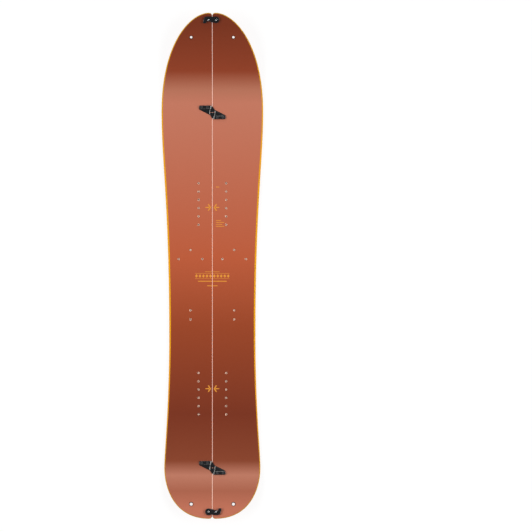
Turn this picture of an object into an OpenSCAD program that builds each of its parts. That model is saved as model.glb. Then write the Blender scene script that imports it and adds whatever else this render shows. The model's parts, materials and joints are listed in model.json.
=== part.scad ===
// Splitboard with its two halves closed for riding.
// The nose points along +Y, the top faces +Z and the seam runs along Y at x = 0.
// Each half is a laminate pressed in one go. A turning hook at each tip and two pairs of
// lapped hook plates hold the halves together. All sizes are in millimetres.

/* [Outline] */
// Length from the nose tip to the tail tip
board_len = 1550; // [1500:5:1600]
// Widest width near the nose
nose_w = 312; // [300:1:326]
// Narrowest width, behind the middle
waist_w = 265; // [252:1:276]
// Widest width near the tail
tail_w = 295; // [283:1:309]
// Distance of the nose's widest line from the nose tip
nose_wide_in = 302; // [290:1:316]
// Distance from mid-length back to the narrowest line
waist_back = 218; // [190:1:235]
// Distance of the tail's widest line from the tail tip
tail_wide_in = 156; // [142:1:172]
// Fullness of the nose outline across the tip
nose_tip_full = 0.39; // [0.34:0.01:0.46]
// Fullness of the nose outline down its side
nose_side_full = 0.70; // [0.62:0.01:0.76]
// Fullness of the tail outline across the tip
tail_tip_full = 0.76; // [0.68:0.01:0.82]
// Fullness of the tail outline down its side
tail_side_full = 0.43; // [0.38:0.01:0.5]
// Radius of the corners where a half meets the seam at its tips
corner_r = 9; // [8.5:0.5:12]
// Gap between the closed halves
seam_gap = 0.8; // [0.6:0.1:1.2]

/* [Side profile] */
// Distance of the start of the nose bend from the nose tip
nose_rise_len = 305; // [295:1:320]
// Length of the nose bend
nose_bend_len = 143; // [130:1:155]
// Slope of the straight nose tip, in degrees
nose_angle = 14; // [10:0.5:17]
// Distance of the start of the tail bend from the tail tip
tail_rise_len = 210; // [200:1:225]
// Length of the tail bend
tail_bend_len = 92; // [84:1:100]
// Slope of the straight tail tip, in degrees
tail_angle = 12; // [8:0.5:15]

/* [Layers] */
// Thickness of the running base
base_t = 1.3; // [1.1:0.1:1.6]
// Thickness of each glass laminate
laminate_t = 0.8; // [0.6:0.1:1]
// Thickness of the wood core over the middle of the board
core_mid_t = 7; // [6:0.25:8]
// Thickness of the core and the spacers at the tips
core_tip_t = 2; // [1.8:0.1:2.4]
// Length of full core ahead of the front inserts, before it thins towards the nose
core_past_front = 36.5; // [20:0.5:60]
// Length of full core behind the rear inserts, before it thins towards the tail
core_past_rear = 34.5; // [20:0.5:60]
// Thickness of the topsheet
topsheet_t = 0.6; // [0.4:0.1:0.8]
// Width of the steel edges
edge_w = 2.2; // [1.8:0.1:2.6]
// Width of the outer sidewall
sidewall_w = 8; // [6:0.5:8]
// Width of the sidewall along the seam
seam_wall_w = 5; // [3:0.5:6]
// Width of sidewall that shows outside the topsheet along the middle of the board
rim_w = 5.4; // [4:0.2:6.4]
// Width of spacer that shows outside the topsheet at the tip of the nose
rim_nose_w = 2.4; // [1.6:0.1:3.2]
// Width of spacer that shows outside the topsheet at the tip of the tail
rim_tail_w = 2; // [1.2:0.1:2.8]
// Where the rim starts to narrow to the nose, from the middle of the board
rim_full_front = 260; // [220:5:300]
// Where the rim starts to narrow to the tail, from the middle of the board
rim_full_back = 180; // [140:5:220]
// Width of seam wall that shows beside the topsheet
seam_rim_w = 0.8; // [0.4:0.1:1.2]
// Length of the nose spacer
nose_spacer_len = 135; // [120:1:150]
// Length of the tail spacer
tail_spacer_len = 103; // [90:1:112]

/* [Binding inserts] */
// Distance of each insert column from the seam
insert_x = 42.3; // [38:0.1:46]
// Spacing of the insert rows
insert_pitch = 25.4; // [24:0.1:26]
// Rows of inserts under each foot
insert_rows = 6; // [4:1:6]
// Distance from mid-length to the middle of the front inserts
stance_front = 190; // [180:1:196]
// Distance from mid-length back to the middle of the rear inserts
stance_back = 392; // [384:1:396]
// Radius of the insert thread
insert_thread_r = 3; // [2.5:0.25:3]
// Outer radius of an insert barrel
insert_barrel_r = 4.2; // [3.9:0.1:5]
// Radius of the flange under an insert
insert_flange_r = 8; // [6:0.5:9]
// Thickness of the flange under an insert
insert_flange_t = 1.2; // [0.8:0.1:1.6]

/* [Touring inserts] */
// Distance of the touring bracket's centre line from the seam
bracket_x = 67; // [62:0.5:72]
// Distance from mid-length to the single front bracket insert
bracket_front_y = 49; // [44:0.5:54]
// Distance from mid-length to the pair of rear bracket inserts
bracket_rear_y = 21; // [16:0.5:24]
// Distance of each rear bracket insert from the centre line
bracket_half_w = 36.3; // [32:0.1:38]
// Distance from mid-length back to the front heel riser insert
riser_back = 136.3; // [130:0.1:142]
// Spacing of the two heel riser inserts
riser_pitch = 27.8; // [24:0.1:32]

/* [Skin holes] */
// Distance of the skin holes from the seam
skin_x = 64.7; // [60:0.1:70]
// Distance of the nose skin holes from the nose tip
skin_nose_in = 74.8; // [66:0.1:80]
// Distance of the tail skin holes from the tail tip
skin_tail_in = 45; // [42:0.1:52]
// Radius of the clear hole through a nose grommet
skin_nose_hole_r = 3.6; // [3:0.1:4.5]
// Radius of the clear hole through a tail grommet
skin_tail_hole_r = 4.6; // [4:0.1:5.5]
// Wall of a grommet's barrel
grommet_wall = 0.8; // [0.6:0.1:1.2]
// Width of a grommet's rim beyond its barrel
grommet_rim_w = 1.2; // [0.8:0.1:2]
// Height of a grommet's rim above the topsheet
grommet_rim_h = 0.8; // [0.5:0.1:1.2]

/* [Tip hooks] */
// Distance of the hook posts from the tips
hook_in = 20.5; // [18:0.5:24]
// Spacing of the pivot and the catch post across the seam
post_gap = 23; // [21:0.5:25]
// Radius of the boss around the pivot
boss_r = 10.5; // [9:0.5:12]
// Thickness of the hook plate
hook_t = 3.5; // [3:0.25:4.5]
// Height of the hook above the topsheet
hook_lift = 2.5; // [2:0.25:3.5]
// Height of the hook's arm on the outer side of the posts
arm_rise = 10.5; // [9:0.25:12]
// Thickness of the hook's claw
claw_w = 9; // [7:0.5:10]
// Drawing apart of the halves over which the hook's mouth is shaped
claw_reach = 4; // [3:0.5:5]
// Turn of a hook for each millimetre that the halves are drawn apart, in degrees
turn_per_mm = 5; // [4:0.5:6]
// Radius of the pivot
pivot_r = 4; // [3.5:0.25:4.5]
// Radius of the catch post's neck
neck_r = 3.5; // [3.25:0.25:4]
// Radius of the catch post's head and foot
catch_r = 5.5; // [5:0.25:6.5]
// Height of the catch post's head and of the cap nut's rim
head_h = 1.8; // [1.4:0.2:2.4]
// Radius of the foot under the pivot
pivot_foot_r = 7.5; // [6.5:0.25:8.5]
// Radius of the cap nut over the pivot
cap_r = 6.5; // [6:0.25:7.5]
// Height of the cap nut's bevel, and of the bevel's run inwards
cap_bevel = 1.2; // [0.6:0.2:1.6]
// Radius of the tip bolts
tip_bolt_r = 2.5; // [2:0.25:2.75]
// Radius of the tip bolts' flat heads in the base
tip_bolt_head_r = 5; // [4:0.25:6]

/* [Middle hooks] */
// Distance of the front hook pair's middle from the nose tip
front_hooks_in = 304; // [296:1:312]
// Distance of the rear hook pair's middle from the tail tip
rear_hooks_in = 155; // [148:1:164]
// Length of a hook plate, from the seam to its outer end
plate_len = 40.5; // [38:0.5:46]
// Half the width of a hook pair along the board
plate_half_w = 21; // [19:0.5:23]
// Thickness of a hook plate
plate_t = 3; // [2.6:0.1:3.6]
// Width of the raised bar along a plate's outer edge
bar_w = 10.5; // [10:0.25:12]
// Height of the raised bar above its plate
bar_rise = 1.5; // [1:0.25:2.5]
// Gap between a tongue's end and the other plate
tongue_end_gap = 0.7; // [0.5:0.1:1.2]
// Distance from the seam at which a tongue's cut corner starts
tongue_cut_in = 0.8; // [0.5:0.1:3]
// Height of a tongue above the topsheet
tongue_lift = 0.9; // [0.8:0.1:1.2]
// Radius of the plate screws
plate_screw_r = 2.5; // [2:0.25:2.75]
// Radius of the plate screws' countersunk heads
plate_screw_head_r = 4.2; // [3.8:0.1:4.6]
// Distance of the outer plate screw from the plate's outer end
plate_screw_in = 7.5; // [7:0.25:9]
// Spacing of the two plate screws
plate_screw_gap = 18; // [16:0.5:19]
// Length of the plate screws' sockets in the core
plate_socket_len = 3.4; // [3:0.1:3.5]
// Wall of the plate screws' sockets
socket_wall = 1.5; // [1.2:0.1:2]

/* [Fits] */
// Radial gap between a hook and its pivot
pivot_clear = 0.05; // [0.03:0.01:0.08]
// Gap between a hook and the faces above and below it
hook_play = 0.15; // [0.1:0.05:0.3]
// Gap between a hook's claw and its catch post
catch_clear = 0.65; // [0.5:0.05:0.8]
// Gap between a hook and the head and foot of its catch post
catch_play = 0.4; // [0.3:0.05:0.6]
// Radial gap of pieces that sit in drilled holes
seat_clear = 0.05; // [0.03:0.01:0.1]
// Depth of bolt heads, screw heads and sockets below the face that they sit in
sink = 0.1; // [0.05:0.05:0.2]
// Gap between the two tongues of a hook pair
tongue_gap = 1.5; // [1.25:0.25:3]

/* [Hidden] */
$fn = 48;
half_len = board_len / 2;
seam_x = seam_gap / 2;
edge_h = base_t + laminate_t;
skin_t = laminate_t + topsheet_t;
tip_t = edge_h + core_tip_t + skin_t;
nose_r = nose_bend_len / sin(nose_angle);
tail_r = tail_bend_len / sin(tail_angle);
nose_bend_y = half_len - nose_rise_len;
tail_bend_y = -half_len + tail_rise_len;
nose_flat_y = nose_bend_y + nose_bend_len;
tail_flat_y = tail_bend_y - tail_bend_len;
insert_reach = (insert_rows - 1) / 2 * insert_pitch;
core_full_front = stance_front + insert_reach + core_past_front;
core_full_rear = -stance_back - insert_reach - core_past_rear;
spacer_front = half_len - nose_spacer_len;
spacer_rear = -half_len + tail_spacer_len;
// Steps along each stretch of the outline, around a corner and around a bend
curve_steps = 16;
corner_steps = 5;
bend_steps = 9;
// How far cutting shapes run past what they cut
over = 5;
steel = "#c4c7cb";
bright = "#d8dbdf";
anodised = "#1d1e21";
plastic = "#e2a13e";
glass = "#e6dcc2";

// Side profile: the height of the base and of each layer's top above it

function bend_height(run, r) = r - sqrt(r * r - run * run);

function base_z(y) =
    y > nose_flat_y ? bend_height(nose_bend_len, nose_r) + (y - nose_flat_y) * tan(nose_angle)
    : y > nose_bend_y ? bend_height(y - nose_bend_y, nose_r)
    : y < tail_flat_y ? bend_height(tail_bend_len, tail_r) + (tail_flat_y - y) * tan(tail_angle)
    : y < tail_bend_y ? bend_height(tail_bend_y - y, tail_r)
    : 0;

function core_t(y) =
    y >= nose_flat_y || y <= tail_flat_y ? core_tip_t
    : y > core_full_front ? core_mid_t - (core_mid_t - core_tip_t)
        * (y - core_full_front) / (nose_flat_y - core_full_front)
    : y < core_full_rear ? core_mid_t - (core_mid_t - core_tip_t)
        * (core_full_rear - y) / (core_full_rear - tail_flat_y)
    : core_mid_t;

// Layer faces, counted from the bottom of the base to the top of the topsheet
BASE = 0;
BASE_TOP = 1;
CORE = 2;
CORE_TOP = 3;
SHEET = 4;
TOP = 5;

function face_z(face, y) = base_z(y) + [
    0,
    base_t,
    edge_h,
    edge_h + core_t(y),
    edge_h + core_t(y) + laminate_t,
    edge_h + core_t(y) + skin_t
][face];

function top_z(y) = face_z(TOP, y);

// Slope of the top over the length of a hook plate, in degrees
function top_slope(y) =
    atan2(top_z(y + plate_half_w) - top_z(y - plate_half_w), 2 * plate_half_w);

function sorted(values) =
    len(values) < 2 ? values
    : let (middle = values[floor(len(values) / 2)])
        concat(
            sorted([for (v = values) if (v < middle) v]),
            [middle],
            sorted([for (v = values) if (v > middle) v])
        );

// Places along the board where its layers change slope
stations = sorted(concat(
    [for (i = [0 : bend_steps]) tail_flat_y + tail_bend_len * i / bend_steps],
    [core_full_rear, core_full_front],
    [for (i = [0 : bend_steps]) nose_bend_y + nose_bend_len * i / bend_steps]
));

// A layer between two faces, over the whole width and from one y to another
module layer(low, high, y_from = -half_len - over, y_to = half_len + over) {
    ys = concat([y_from], [for (y = stations) if (y > y_from && y < y_to) y], [y_to]);
    count = len(ys);
    lower = [for (y = ys) [y, face_z(low, y)]];
    upper = [for (i = [1 : count]) [ys[count - i], face_z(high, ys[count - i])]];
    rotate([90, 0, 90])
        linear_extrude(height = nose_w + 2 * over, center = true)
            polygon(concat(lower, upper));
}

// Plan outline of the right half, from the nose corner round the side to the tail corner

function bezier(c, t) =
    c[0] * pow(1 - t, 3) + c[1] * 3 * t * pow(1 - t, 2)
    + c[2] * 3 * t * t * (1 - t) + c[3] * pow(t, 3);

function bezier_way(c, t) =
    (c[1] - c[0]) * pow(1 - t, 2) + (c[2] - c[1]) * 2 * t * (1 - t) + (c[3] - c[2]) * t * t;

function inward(way) = [way.y, -way.x] / norm(way);

tip_x = seam_x + corner_r;
nose_wide = [nose_w / 2, half_len - nose_wide_in];
waist = [waist_w / 2, -waist_back];
tail_wide = [tail_w / 2, -half_len + tail_wide_in];
// Share of the way to the next point at which each side curve's handle stands
nose_handle = 0.23;
waist_front_handle = 0.59;
waist_rear_handle = 0.53;
tail_handle = 0.12;
side_curves = [
    [
        [tip_x, half_len],
        [tip_x + nose_tip_full * (nose_wide.x - tip_x), half_len],
        nose_wide + [0, nose_side_full * nose_wide_in],
        nose_wide
    ],
    [
        nose_wide,
        nose_wide - [0, nose_handle * (nose_wide.y - waist.y)],
        waist + [0, waist_front_handle * (nose_wide.y - waist.y)],
        waist
    ],
    [
        waist,
        waist - [0, waist_rear_handle * (waist.y - tail_wide.y)],
        tail_wide + [0, tail_handle * (waist.y - tail_wide.y)],
        tail_wide
    ],
    [
        tail_wide,
        tail_wide - [0, tail_side_full * tail_wide_in],
        [tip_x + tail_tip_full * (tail_wide.x - tip_x), -half_len],
        [tip_x, -half_len]
    ]
];

// Width of the rim along the board, as pairs of y and width
rim = [
    [-half_len, rim_tail_w],
    [-rim_full_back, rim_w],
    [rim_full_front, rim_w],
    [half_len, rim_nose_w]
];

// A distance in from the outer side at y, the same all along or from pairs like the rim's
function in_at(side_in, y) = is_list(side_in) ? lookup(y, side_in) : side_in;

// The rounded corner where a tip meets the seam, drawn in, at the nose's end
function tip_corner(side_in, seam_in) =
    let (
        round_x = max(corner_r - seam_in, 0.1),
        round_y = max(corner_r - side_in, 0.1)
    )
    [
        for (i = [0 : corner_steps - 1])
            let (a = 90 * i / corner_steps)
                [tip_x - round_x * cos(a), half_len - corner_r + round_y * sin(a)]
    ];

// The outline drawn in by side_in from the outer side and by seam_in from the seam
function half_path(side_in, seam_in) =
    let (
        nose_corner = tip_corner(in_at(side_in, half_len), seam_in),
        tail_corner = tip_corner(in_at(side_in, -half_len), seam_in),
        side = [
            for (c = side_curves, i = [0 : curve_steps - 1])
                let (p = bezier(c, i / curve_steps))
                    p + in_at(side_in, p.y) * inward(bezier_way(c, i / curve_steps))
        ]
    )
    concat(
        nose_corner,
        side,
        [[tip_x, -half_len + in_at(side_in, -half_len)]],
        [for (i = [1 : corner_steps]) [tail_corner[corner_steps - i].x, -tail_corner[corner_steps - i].y]]
    );

module upright(points) {
    linear_extrude(height = 2 * nose_w) polygon(points);
}

module half_plan(side_in, seam_in) {
    upright(half_path(side_in, seam_in));
}

// The strip of a given width that runs round the outer side, open along the seam
module side_strip(width, seam_width) {
    outer = half_path(0, 0);
    inner = half_path(width, seam_width);
    count = len(inner);
    upright(concat(outer, [for (i = [1 : count]) inner[count - i]]));
}

// The strip of a given width along the seam, between the corners
module seam_strip(width) {
    length = board_len - 2 * corner_r;
    translate([seam_x, -length / 2, 0]) cube([width, length, 2 * nose_w]);
}

// Builds the right half's piece for side 1, and its mirror image for side -1
module half(side) {
    mirror([side < 0 ? 1 : 0, 0, 0]) children();
}

// Places on the board. End 1 is the nose and end -1 the tail

function end_angle(end) = end > 0 ? nose_angle : -tail_angle;

module on_top(x, y, slope) {
    translate([x, y, top_z(y)]) rotate([slope, 0, 0]) children();
}

module at_hook(end) {
    on_top(0, end * (half_len - hook_in), end_angle(end)) children();
}

function skin_hole_r(end) = end > 0 ? skin_nose_hole_r : skin_tail_hole_r;

module at_skin_hole(end) {
    y = end > 0 ? half_len - skin_nose_in : -half_len + skin_tail_in;
    on_top(skin_x, y, end_angle(end)) children();
}

hook_pairs = [half_len - front_hooks_in, -half_len + rear_hooks_in];

module at_plates(pair) {
    on_top(0, hook_pairs[pair], top_slope(hook_pairs[pair])) children();
}

function insert_column(middle) =
    [for (i = [0 : insert_rows - 1]) [insert_x, middle - insert_reach + i * insert_pitch]];

front_inserts = insert_column(stance_front);
rear_inserts = insert_column(-stance_back);
bracket_inserts = [
    [bracket_x, bracket_front_y],
    [bracket_x - bracket_half_w, bracket_rear_y],
    [bracket_x + bracket_half_w, bracket_rear_y]
];
riser_inserts = [[bracket_x, -riser_back], [bracket_x, -riser_back - riser_pitch]];
all_inserts = concat(front_inserts, rear_inserts, bracket_inserts, riser_inserts);

// Plate screws of the right half, in the plate's bar
plate_screw_y = -plate_half_w + bar_w / 2;
plate_screw_xs = [plate_len - plate_screw_in - plate_screw_gap, plate_len - plate_screw_in];
socket_r = plate_screw_r + seat_clear + socket_wall;

// Cuts

module insert_cuts() {
    for (p = all_inserts)
        translate([p.x, p.y, 0]) {
            cylinder(h = core_mid_t + edge_h + skin_t + over, r = insert_barrel_r + seat_clear);
            cylinder(h = edge_h + insert_flange_t, r = insert_flange_r + seat_clear);
        }
}

module barrel_cuts() {
    for (p = all_inserts)
        translate([p.x, p.y, 0])
            cylinder(h = core_mid_t + edge_h + skin_t + over, r = insert_barrel_r + seat_clear);
}

module tip_bolt_cuts(r) {
    for (end = [-1, 1])
        at_hook(end) translate([post_gap / 2, 0, -tip_t - over]) cylinder(h = tip_t + 2 * over, r = r);
}

module skin_cuts() {
    for (end = [-1, 1])
        at_skin_hole(end)
            translate([0, 0, -tip_t - over])
                cylinder(h = tip_t + 2 * over, r = skin_hole_r(end) + grommet_wall + seat_clear);
}

module socket_cuts(side) {
    for (pair = [0, 1], x = plate_screw_xs)
        at_plates(pair)
            translate([x, side * plate_screw_y, -plate_socket_len])
                cylinder(h = plate_socket_len + over, r = socket_r + seat_clear);
}

module tip_cuts() {
    tip_bolt_cuts(tip_bolt_r + seat_clear);
    skin_cuts();
}

// Layers of a half

module base_sheet(side) {
    color("#b8694a") half(side)
        difference() {
            intersection() {
                layer(BASE, BASE_TOP);
                half_plan(edge_w, edge_w);
            }
            tip_bolt_cuts(tip_bolt_head_r + seat_clear);
            skin_cuts();
        }
}

module outer_edge(side) {
    color(steel) half(side)
        intersection() {
            layer(BASE, CORE);
            side_strip(edge_w, edge_w);
        }
}

module inner_edge(side) {
    color(steel) half(side)
        intersection() {
            layer(BASE, CORE);
            seam_strip(edge_w);
        }
}

module lower_laminate(side) {
    color(glass) half(side)
        difference() {
            intersection() {
                layer(BASE_TOP, CORE);
                half_plan(edge_w, edge_w);
            }
            tip_cuts();
        }
}

module wood_core(side) {
    color("#d8b27c") half(side)
        difference() {
            intersection() {
                layer(CORE, CORE_TOP, spacer_rear, spacer_front);
                half_plan(sidewall_w, seam_wall_w);
            }
            insert_cuts();
            socket_cuts(side);
        }
}

module nose_spacer(side) {
    color(plastic) half(side)
        difference() {
            intersection() {
                layer(CORE, CORE_TOP, spacer_front);
                half_plan(0, 0);
            }
            tip_cuts();
        }
}

module tail_spacer(side) {
    color(plastic) half(side)
        difference() {
            intersection() {
                layer(CORE, CORE_TOP, -half_len - over, spacer_rear);
                half_plan(0, 0);
            }
            tip_cuts();
        }
}

module outer_sidewall(side) {
    color(plastic) half(side)
        intersection() {
            layer(CORE, CORE_TOP, spacer_rear, spacer_front);
            side_strip(sidewall_w, seam_wall_w);
        }
}

module seam_sidewall(side) {
    color("#efe0d0") half(side)
        intersection() {
            layer(CORE, CORE_TOP, spacer_rear, spacer_front);
            seam_strip(seam_wall_w);
        }
}

module upper_laminate(side) {
    color(glass) half(side)
        difference() {
            intersection() {
                layer(CORE_TOP, SHEET);
                half_plan(rim, seam_rim_w);
            }
            tip_cuts();
            barrel_cuts();
            socket_cuts(side);
        }
}

module topsheet(side) {
    color("#b3623f") half(side)
        difference() {
            intersection() {
                layer(SHEET, TOP);
                half_plan(rim, seam_rim_w);
            }
            tip_cuts();
            barrel_cuts();
            socket_cuts(side);
        }
}

// Threaded inserts, held by their flanges under the core
socket_floor = 0.4;

module insert() {
    top = edge_h + core_mid_t + skin_t;
    difference() {
        union() {
            translate([0, 0, edge_h]) cylinder(h = insert_flange_t, r = insert_flange_r);
            translate([0, 0, edge_h]) cylinder(h = top - edge_h, r = insert_barrel_r);
        }
        translate([0, 0, edge_h + insert_flange_t]) cylinder(h = top, r = insert_thread_r);
    }
}

module insert_set(side, points) {
    color(steel) half(side)
        for (p = points) translate([p.x, p.y, 0]) insert();
}

module hook_sockets(side) {
    color(steel) half(side)
        for (pair = [0, 1], x = plate_screw_xs)
            at_plates(pair)
                translate([x, side * plate_screw_y, -plate_socket_len])
                    difference() {
                        cylinder(h = plate_socket_len - sink, r = socket_r);
                        translate([0, 0, socket_floor])
                            cylinder(h = plate_socket_len, r = plate_screw_r + seat_clear);
                    }
}

module skin_grommets(side) {
    color("#8f9296") half(side)
        for (end = [-1, 1])
            at_skin_hole(end) {
                depth = (tip_t - base_t) * cos(end_angle(end)) - 2 * sink;
                barrel_r = skin_hole_r(end) + grommet_wall;
                difference() {
                    union() {
                        translate([0, 0, -depth]) cylinder(h = depth + grommet_rim_h, r = barrel_r);
                        cylinder(h = grommet_rim_h, r = barrel_r + grommet_rim_w);
                    }
                    translate([0, 0, -tip_t]) cylinder(h = 2 * tip_t, r = skin_hole_r(end));
                }
            }
}

// Turning hooks at the tips. Seen from above the nose hook pivots right of the seam
// and its claw catches the post on the left; the tail hook is the same turned half round

module hook_frame(end) {
    at_hook(end) rotate([0, 0, end > 0 ? 0 : 180]) children();
}

hook_low = hook_lift + hook_play;
hook_high = hook_low + hook_t;
shank_top = hook_high + hook_play;
neck_top = hook_high + catch_play;
mouth_r = neck_r + catch_clear;

// Path of the catch post as the hook sees it while the halves are drawn apart by s
function post_path(s) =
    (post_gap + s) * [-cos(turn_per_mm * s), -sin(turn_per_mm * s)];

// Claw's inner flank: that path, set off outwards by the mouth's radius
function flank(s) =
    let (ds = 0.1, way = post_path(s + ds) - post_path(s - ds))
        post_path(s) + mouth_r * [way.y, -way.x] / norm(way);

function arc(middle, rx, ry, from, to, steps) =
    [for (i = [0 : steps]) let (a = from + (to - from) * i / steps) middle + [rx * cos(a), ry * sin(a)]];

// Arm, crook and claw, seen from above with the pivot at the origin
module hook_shape() {
    steps = 6;
    // Where the arm's edges leave the boss on the outer and inner sides, and the lip beside the mouth
    outer_root = 0.8 * boss_r;
    inner_root = 0.95 * boss_r;
    lip = [0.8, -7];
    // How far the claw's blunt end leans out and reaches past its tip, and its outer corner's step back
    lean = 1.3;
    blunt = 2.4;
    step_back = 0.2;
    tip = flank(claw_reach);
    crook_rise = arm_rise - mouth_r;
    polygon(concat(
        [[0, outer_root]],
        arc([-post_gap, crook_rise], mouth_r + claw_w, mouth_r, 90, 170, steps),
        [tip + [-claw_w - lean, step_back], tip + [lean - claw_w, -blunt], tip + [-lean, -blunt / 2], tip],
        [for (i = [1 : steps - 1]) flank(claw_reach * (1 - i / steps))],
        arc([-post_gap, 0], mouth_r, mouth_r, 180, 0, steps),
        [[-post_gap + mouth_r, 0] + lip, [0, -inner_root]]
    ));
}

module hook(end) {
    color(anodised) hook_frame(end)
        translate([post_gap / 2, 0, hook_low])
            difference() {
                union() {
                    linear_extrude(height = hook_t) hook_shape();
                    cylinder(h = hook_t, r = boss_r);
                }
                translate([0, 0, -over]) cylinder(h = hook_t + 2 * over, r = pivot_r + pivot_clear);
            }
}

module pivot_bush(end) {
    color(bright) hook_frame(end)
        translate([post_gap / 2, 0, 0])
            difference() {
                union() {
                    cylinder(h = hook_lift, r = pivot_foot_r);
                    cylinder(h = shank_top, r = pivot_r);
                }
                translate([0, 0, -over])
                    cylinder(h = shank_top + 2 * over, r = tip_bolt_r + seat_clear);
            }
}

// A flat-headed bolt up through the board from the base, to a given height above the topsheet
module tip_bolt(end, x, top) {
    bottom = sink - tip_t * cos(end_angle(end));
    head_top = (base_t - tip_t) * cos(end_angle(end));
    color("#3a3b3e") hook_frame(end)
        translate([x, 0, bottom])
            union() {
                cylinder(h = head_top - bottom, r = tip_bolt_head_r);
                cylinder(h = top - bottom, r = tip_bolt_r);
            }
}

module pivot_nut(end) {
    color(bright) hook_frame(end)
        translate([post_gap / 2, 0, shank_top])
            difference() {
                union() {
                    cylinder(h = head_h, r = cap_r);
                    translate([0, 0, head_h])
                        cylinder(h = cap_bevel, r1 = cap_r, r2 = cap_r - cap_bevel);
                }
                translate([0, 0, -over])
                    cylinder(h = head_h + seat_clear + over, r = tip_bolt_r + seat_clear);
            }
}

module catch_post(end) {
    color(bright) hook_frame(end)
        translate([-post_gap / 2, 0, 0])
            difference() {
                union() {
                    cylinder(h = hook_low - catch_play, r = catch_r);
                    cylinder(h = neck_top + head_h, r = neck_r);
                    translate([0, 0, neck_top]) cylinder(h = head_h, r = catch_r);
                }
                translate([0, 0, -over]) cylinder(h = neck_top + over, r = tip_bolt_r + seat_clear);
            }
}

// Lapped hook plates beside the middle of the board. The left plate's bar and tongue lie on
// the nose side of the pair; the right plate is the same turned half round

module plate_frame(pair, side) {
    at_plates(pair) rotate([0, 0, side < 0 ? 0 : 180]) children();
}

// Slanted inner edge of a plate: its distance from the seam at both ends
plate_inner_top = 2.5;
plate_inner_low = 8.5;
// Lowest corner of the slanted flange below the bar
flange_low = 7.5;
plate_slant = (plate_inner_low - plate_inner_top) / (plate_half_w + flange_low);
// Radius of the plate's outer corners, and how far the tongue's end stops short of the flange's corner
plate_corner = 3;
tongue_short = 0.5;
plate_top = plate_t + bar_rise;
plate_head_h = plate_screw_head_r - plate_screw_r;
bar_low = plate_half_w - bar_w;

function plate_corner_arc(middle_y, from, to) =
    arc([-plate_len + plate_corner, middle_y], plate_corner, plate_corner, from, to, 4);

module plate_shape() {
    polygon(concat(
        [[-plate_inner_top, plate_half_w]],
        plate_corner_arc(plate_half_w - plate_corner, 90, 180),
        plate_corner_arc(bar_low, 180, 240),
        [[-plate_inner_low, -flange_low]]
    ));
}

module bar_shape() {
    polygon(concat(
        [[-plate_inner_top, plate_half_w]],
        plate_corner_arc(plate_half_w - plate_corner, 90, 180),
        plate_corner_arc(bar_low + plate_corner, 180, 270),
        [[-plate_inner_top - plate_slant * bar_w, bar_low]]
    ));
}

// Distance from the seam of a tongue's end, which runs beside the other plate's slanted edge
function tongue_end(y) = plate_inner_top + plate_slant * (plate_half_w + y) - tongue_end_gap;

module tongue_shape() {
    low = tongue_gap / 2;
    knee = flange_low - tongue_short;
    high = plate_half_w - plate_corner;
    polygon([
        [-plate_inner_low, low],
        [tongue_end(low), low],
        [tongue_end(knee), knee],
        [tongue_cut_in, high],
        [-plate_inner_low, high]
    ]);
}

module plate_screw_cut() {
    translate([0, 0, -over])
        cylinder(h = plate_top + 2 * over, r = plate_screw_r + seat_clear);
    translate([0, 0, plate_top - plate_head_h])
        cylinder(h = plate_head_h + sink, r1 = plate_screw_r + seat_clear,
                 r2 = plate_screw_head_r + seat_clear + sink);
}

// The plate's underside follows the board, so it is cut off by the board's own layers
module hook_plate(pair, side) {
    under = plate_t / 2;
    color(anodised)
        difference() {
            plate_frame(pair, side)
                difference() {
                    union() {
                        translate([0, 0, -under])
                            linear_extrude(height = under + plate_t) plate_shape();
                        translate([0, 0, under])
                            linear_extrude(height = plate_top - under) bar_shape();
                        translate([0, 0, tongue_lift])
                            linear_extrude(height = plate_t - tongue_lift) tongue_shape();
                    }
                    for (x = plate_screw_xs)
                        translate([-x, -plate_screw_y, 0]) plate_screw_cut();
                }
            layer(BASE, TOP);
        }
}

module plate_screws(pair, side) {
    bottom = socket_floor + sink - plate_socket_len;
    color("#2a2b2e") plate_frame(pair, side)
        for (x = plate_screw_xs)
            translate([-x, -plate_screw_y, 0])
                union() {
                    translate([0, 0, bottom])
                        cylinder(h = plate_top - sink - bottom, r = plate_screw_r);
                    translate([0, 0, plate_top - plate_head_h])
                        cylinder(h = plate_head_h - sink, r1 = plate_screw_r,
                                 r2 = plate_screw_head_r - sink);
                }
}

base_sheet(1);  // right_base_sheet
outer_edge(1);  // right_outer_edge
inner_edge(1);  // right_inner_edge
lower_laminate(1);  // right_lower_laminate
wood_core(1);  // right_wood_core
nose_spacer(1);  // right_nose_spacer
tail_spacer(1);  // right_tail_spacer
outer_sidewall(1);  // right_outer_sidewall
seam_sidewall(1);  // right_seam_sidewall
upper_laminate(1);  // right_upper_laminate
topsheet(1);  // right_topsheet
insert_set(1, front_inserts);  // right_front_inserts
insert_set(1, rear_inserts);  // right_rear_inserts
insert_set(1, bracket_inserts);  // right_bracket_inserts
insert_set(1, riser_inserts);  // right_riser_inserts
hook_sockets(1);  // right_hook_sockets
skin_grommets(1);  // right_skin_grommets
base_sheet(-1);  // left_base_sheet
outer_edge(-1);  // left_outer_edge
inner_edge(-1);  // left_inner_edge
lower_laminate(-1);  // left_lower_laminate
wood_core(-1);  // left_wood_core
nose_spacer(-1);  // left_nose_spacer
tail_spacer(-1);  // left_tail_spacer
outer_sidewall(-1);  // left_outer_sidewall
seam_sidewall(-1);  // left_seam_sidewall
upper_laminate(-1);  // left_upper_laminate
topsheet(-1);  // left_topsheet
insert_set(-1, front_inserts);  // left_front_inserts
insert_set(-1, rear_inserts);  // left_rear_inserts
insert_set(-1, bracket_inserts);  // left_bracket_inserts
insert_set(-1, riser_inserts);  // left_riser_inserts
hook_sockets(-1);  // left_hook_sockets
skin_grommets(-1);  // left_skin_grommets
hook(1);  // nose_hook
pivot_bush(1);  // nose_pivot_bush
tip_bolt(1, post_gap / 2, shank_top + head_h);  // nose_pivot_bolt
pivot_nut(1);  // nose_pivot_nut
catch_post(1);  // nose_catch_post
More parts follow.
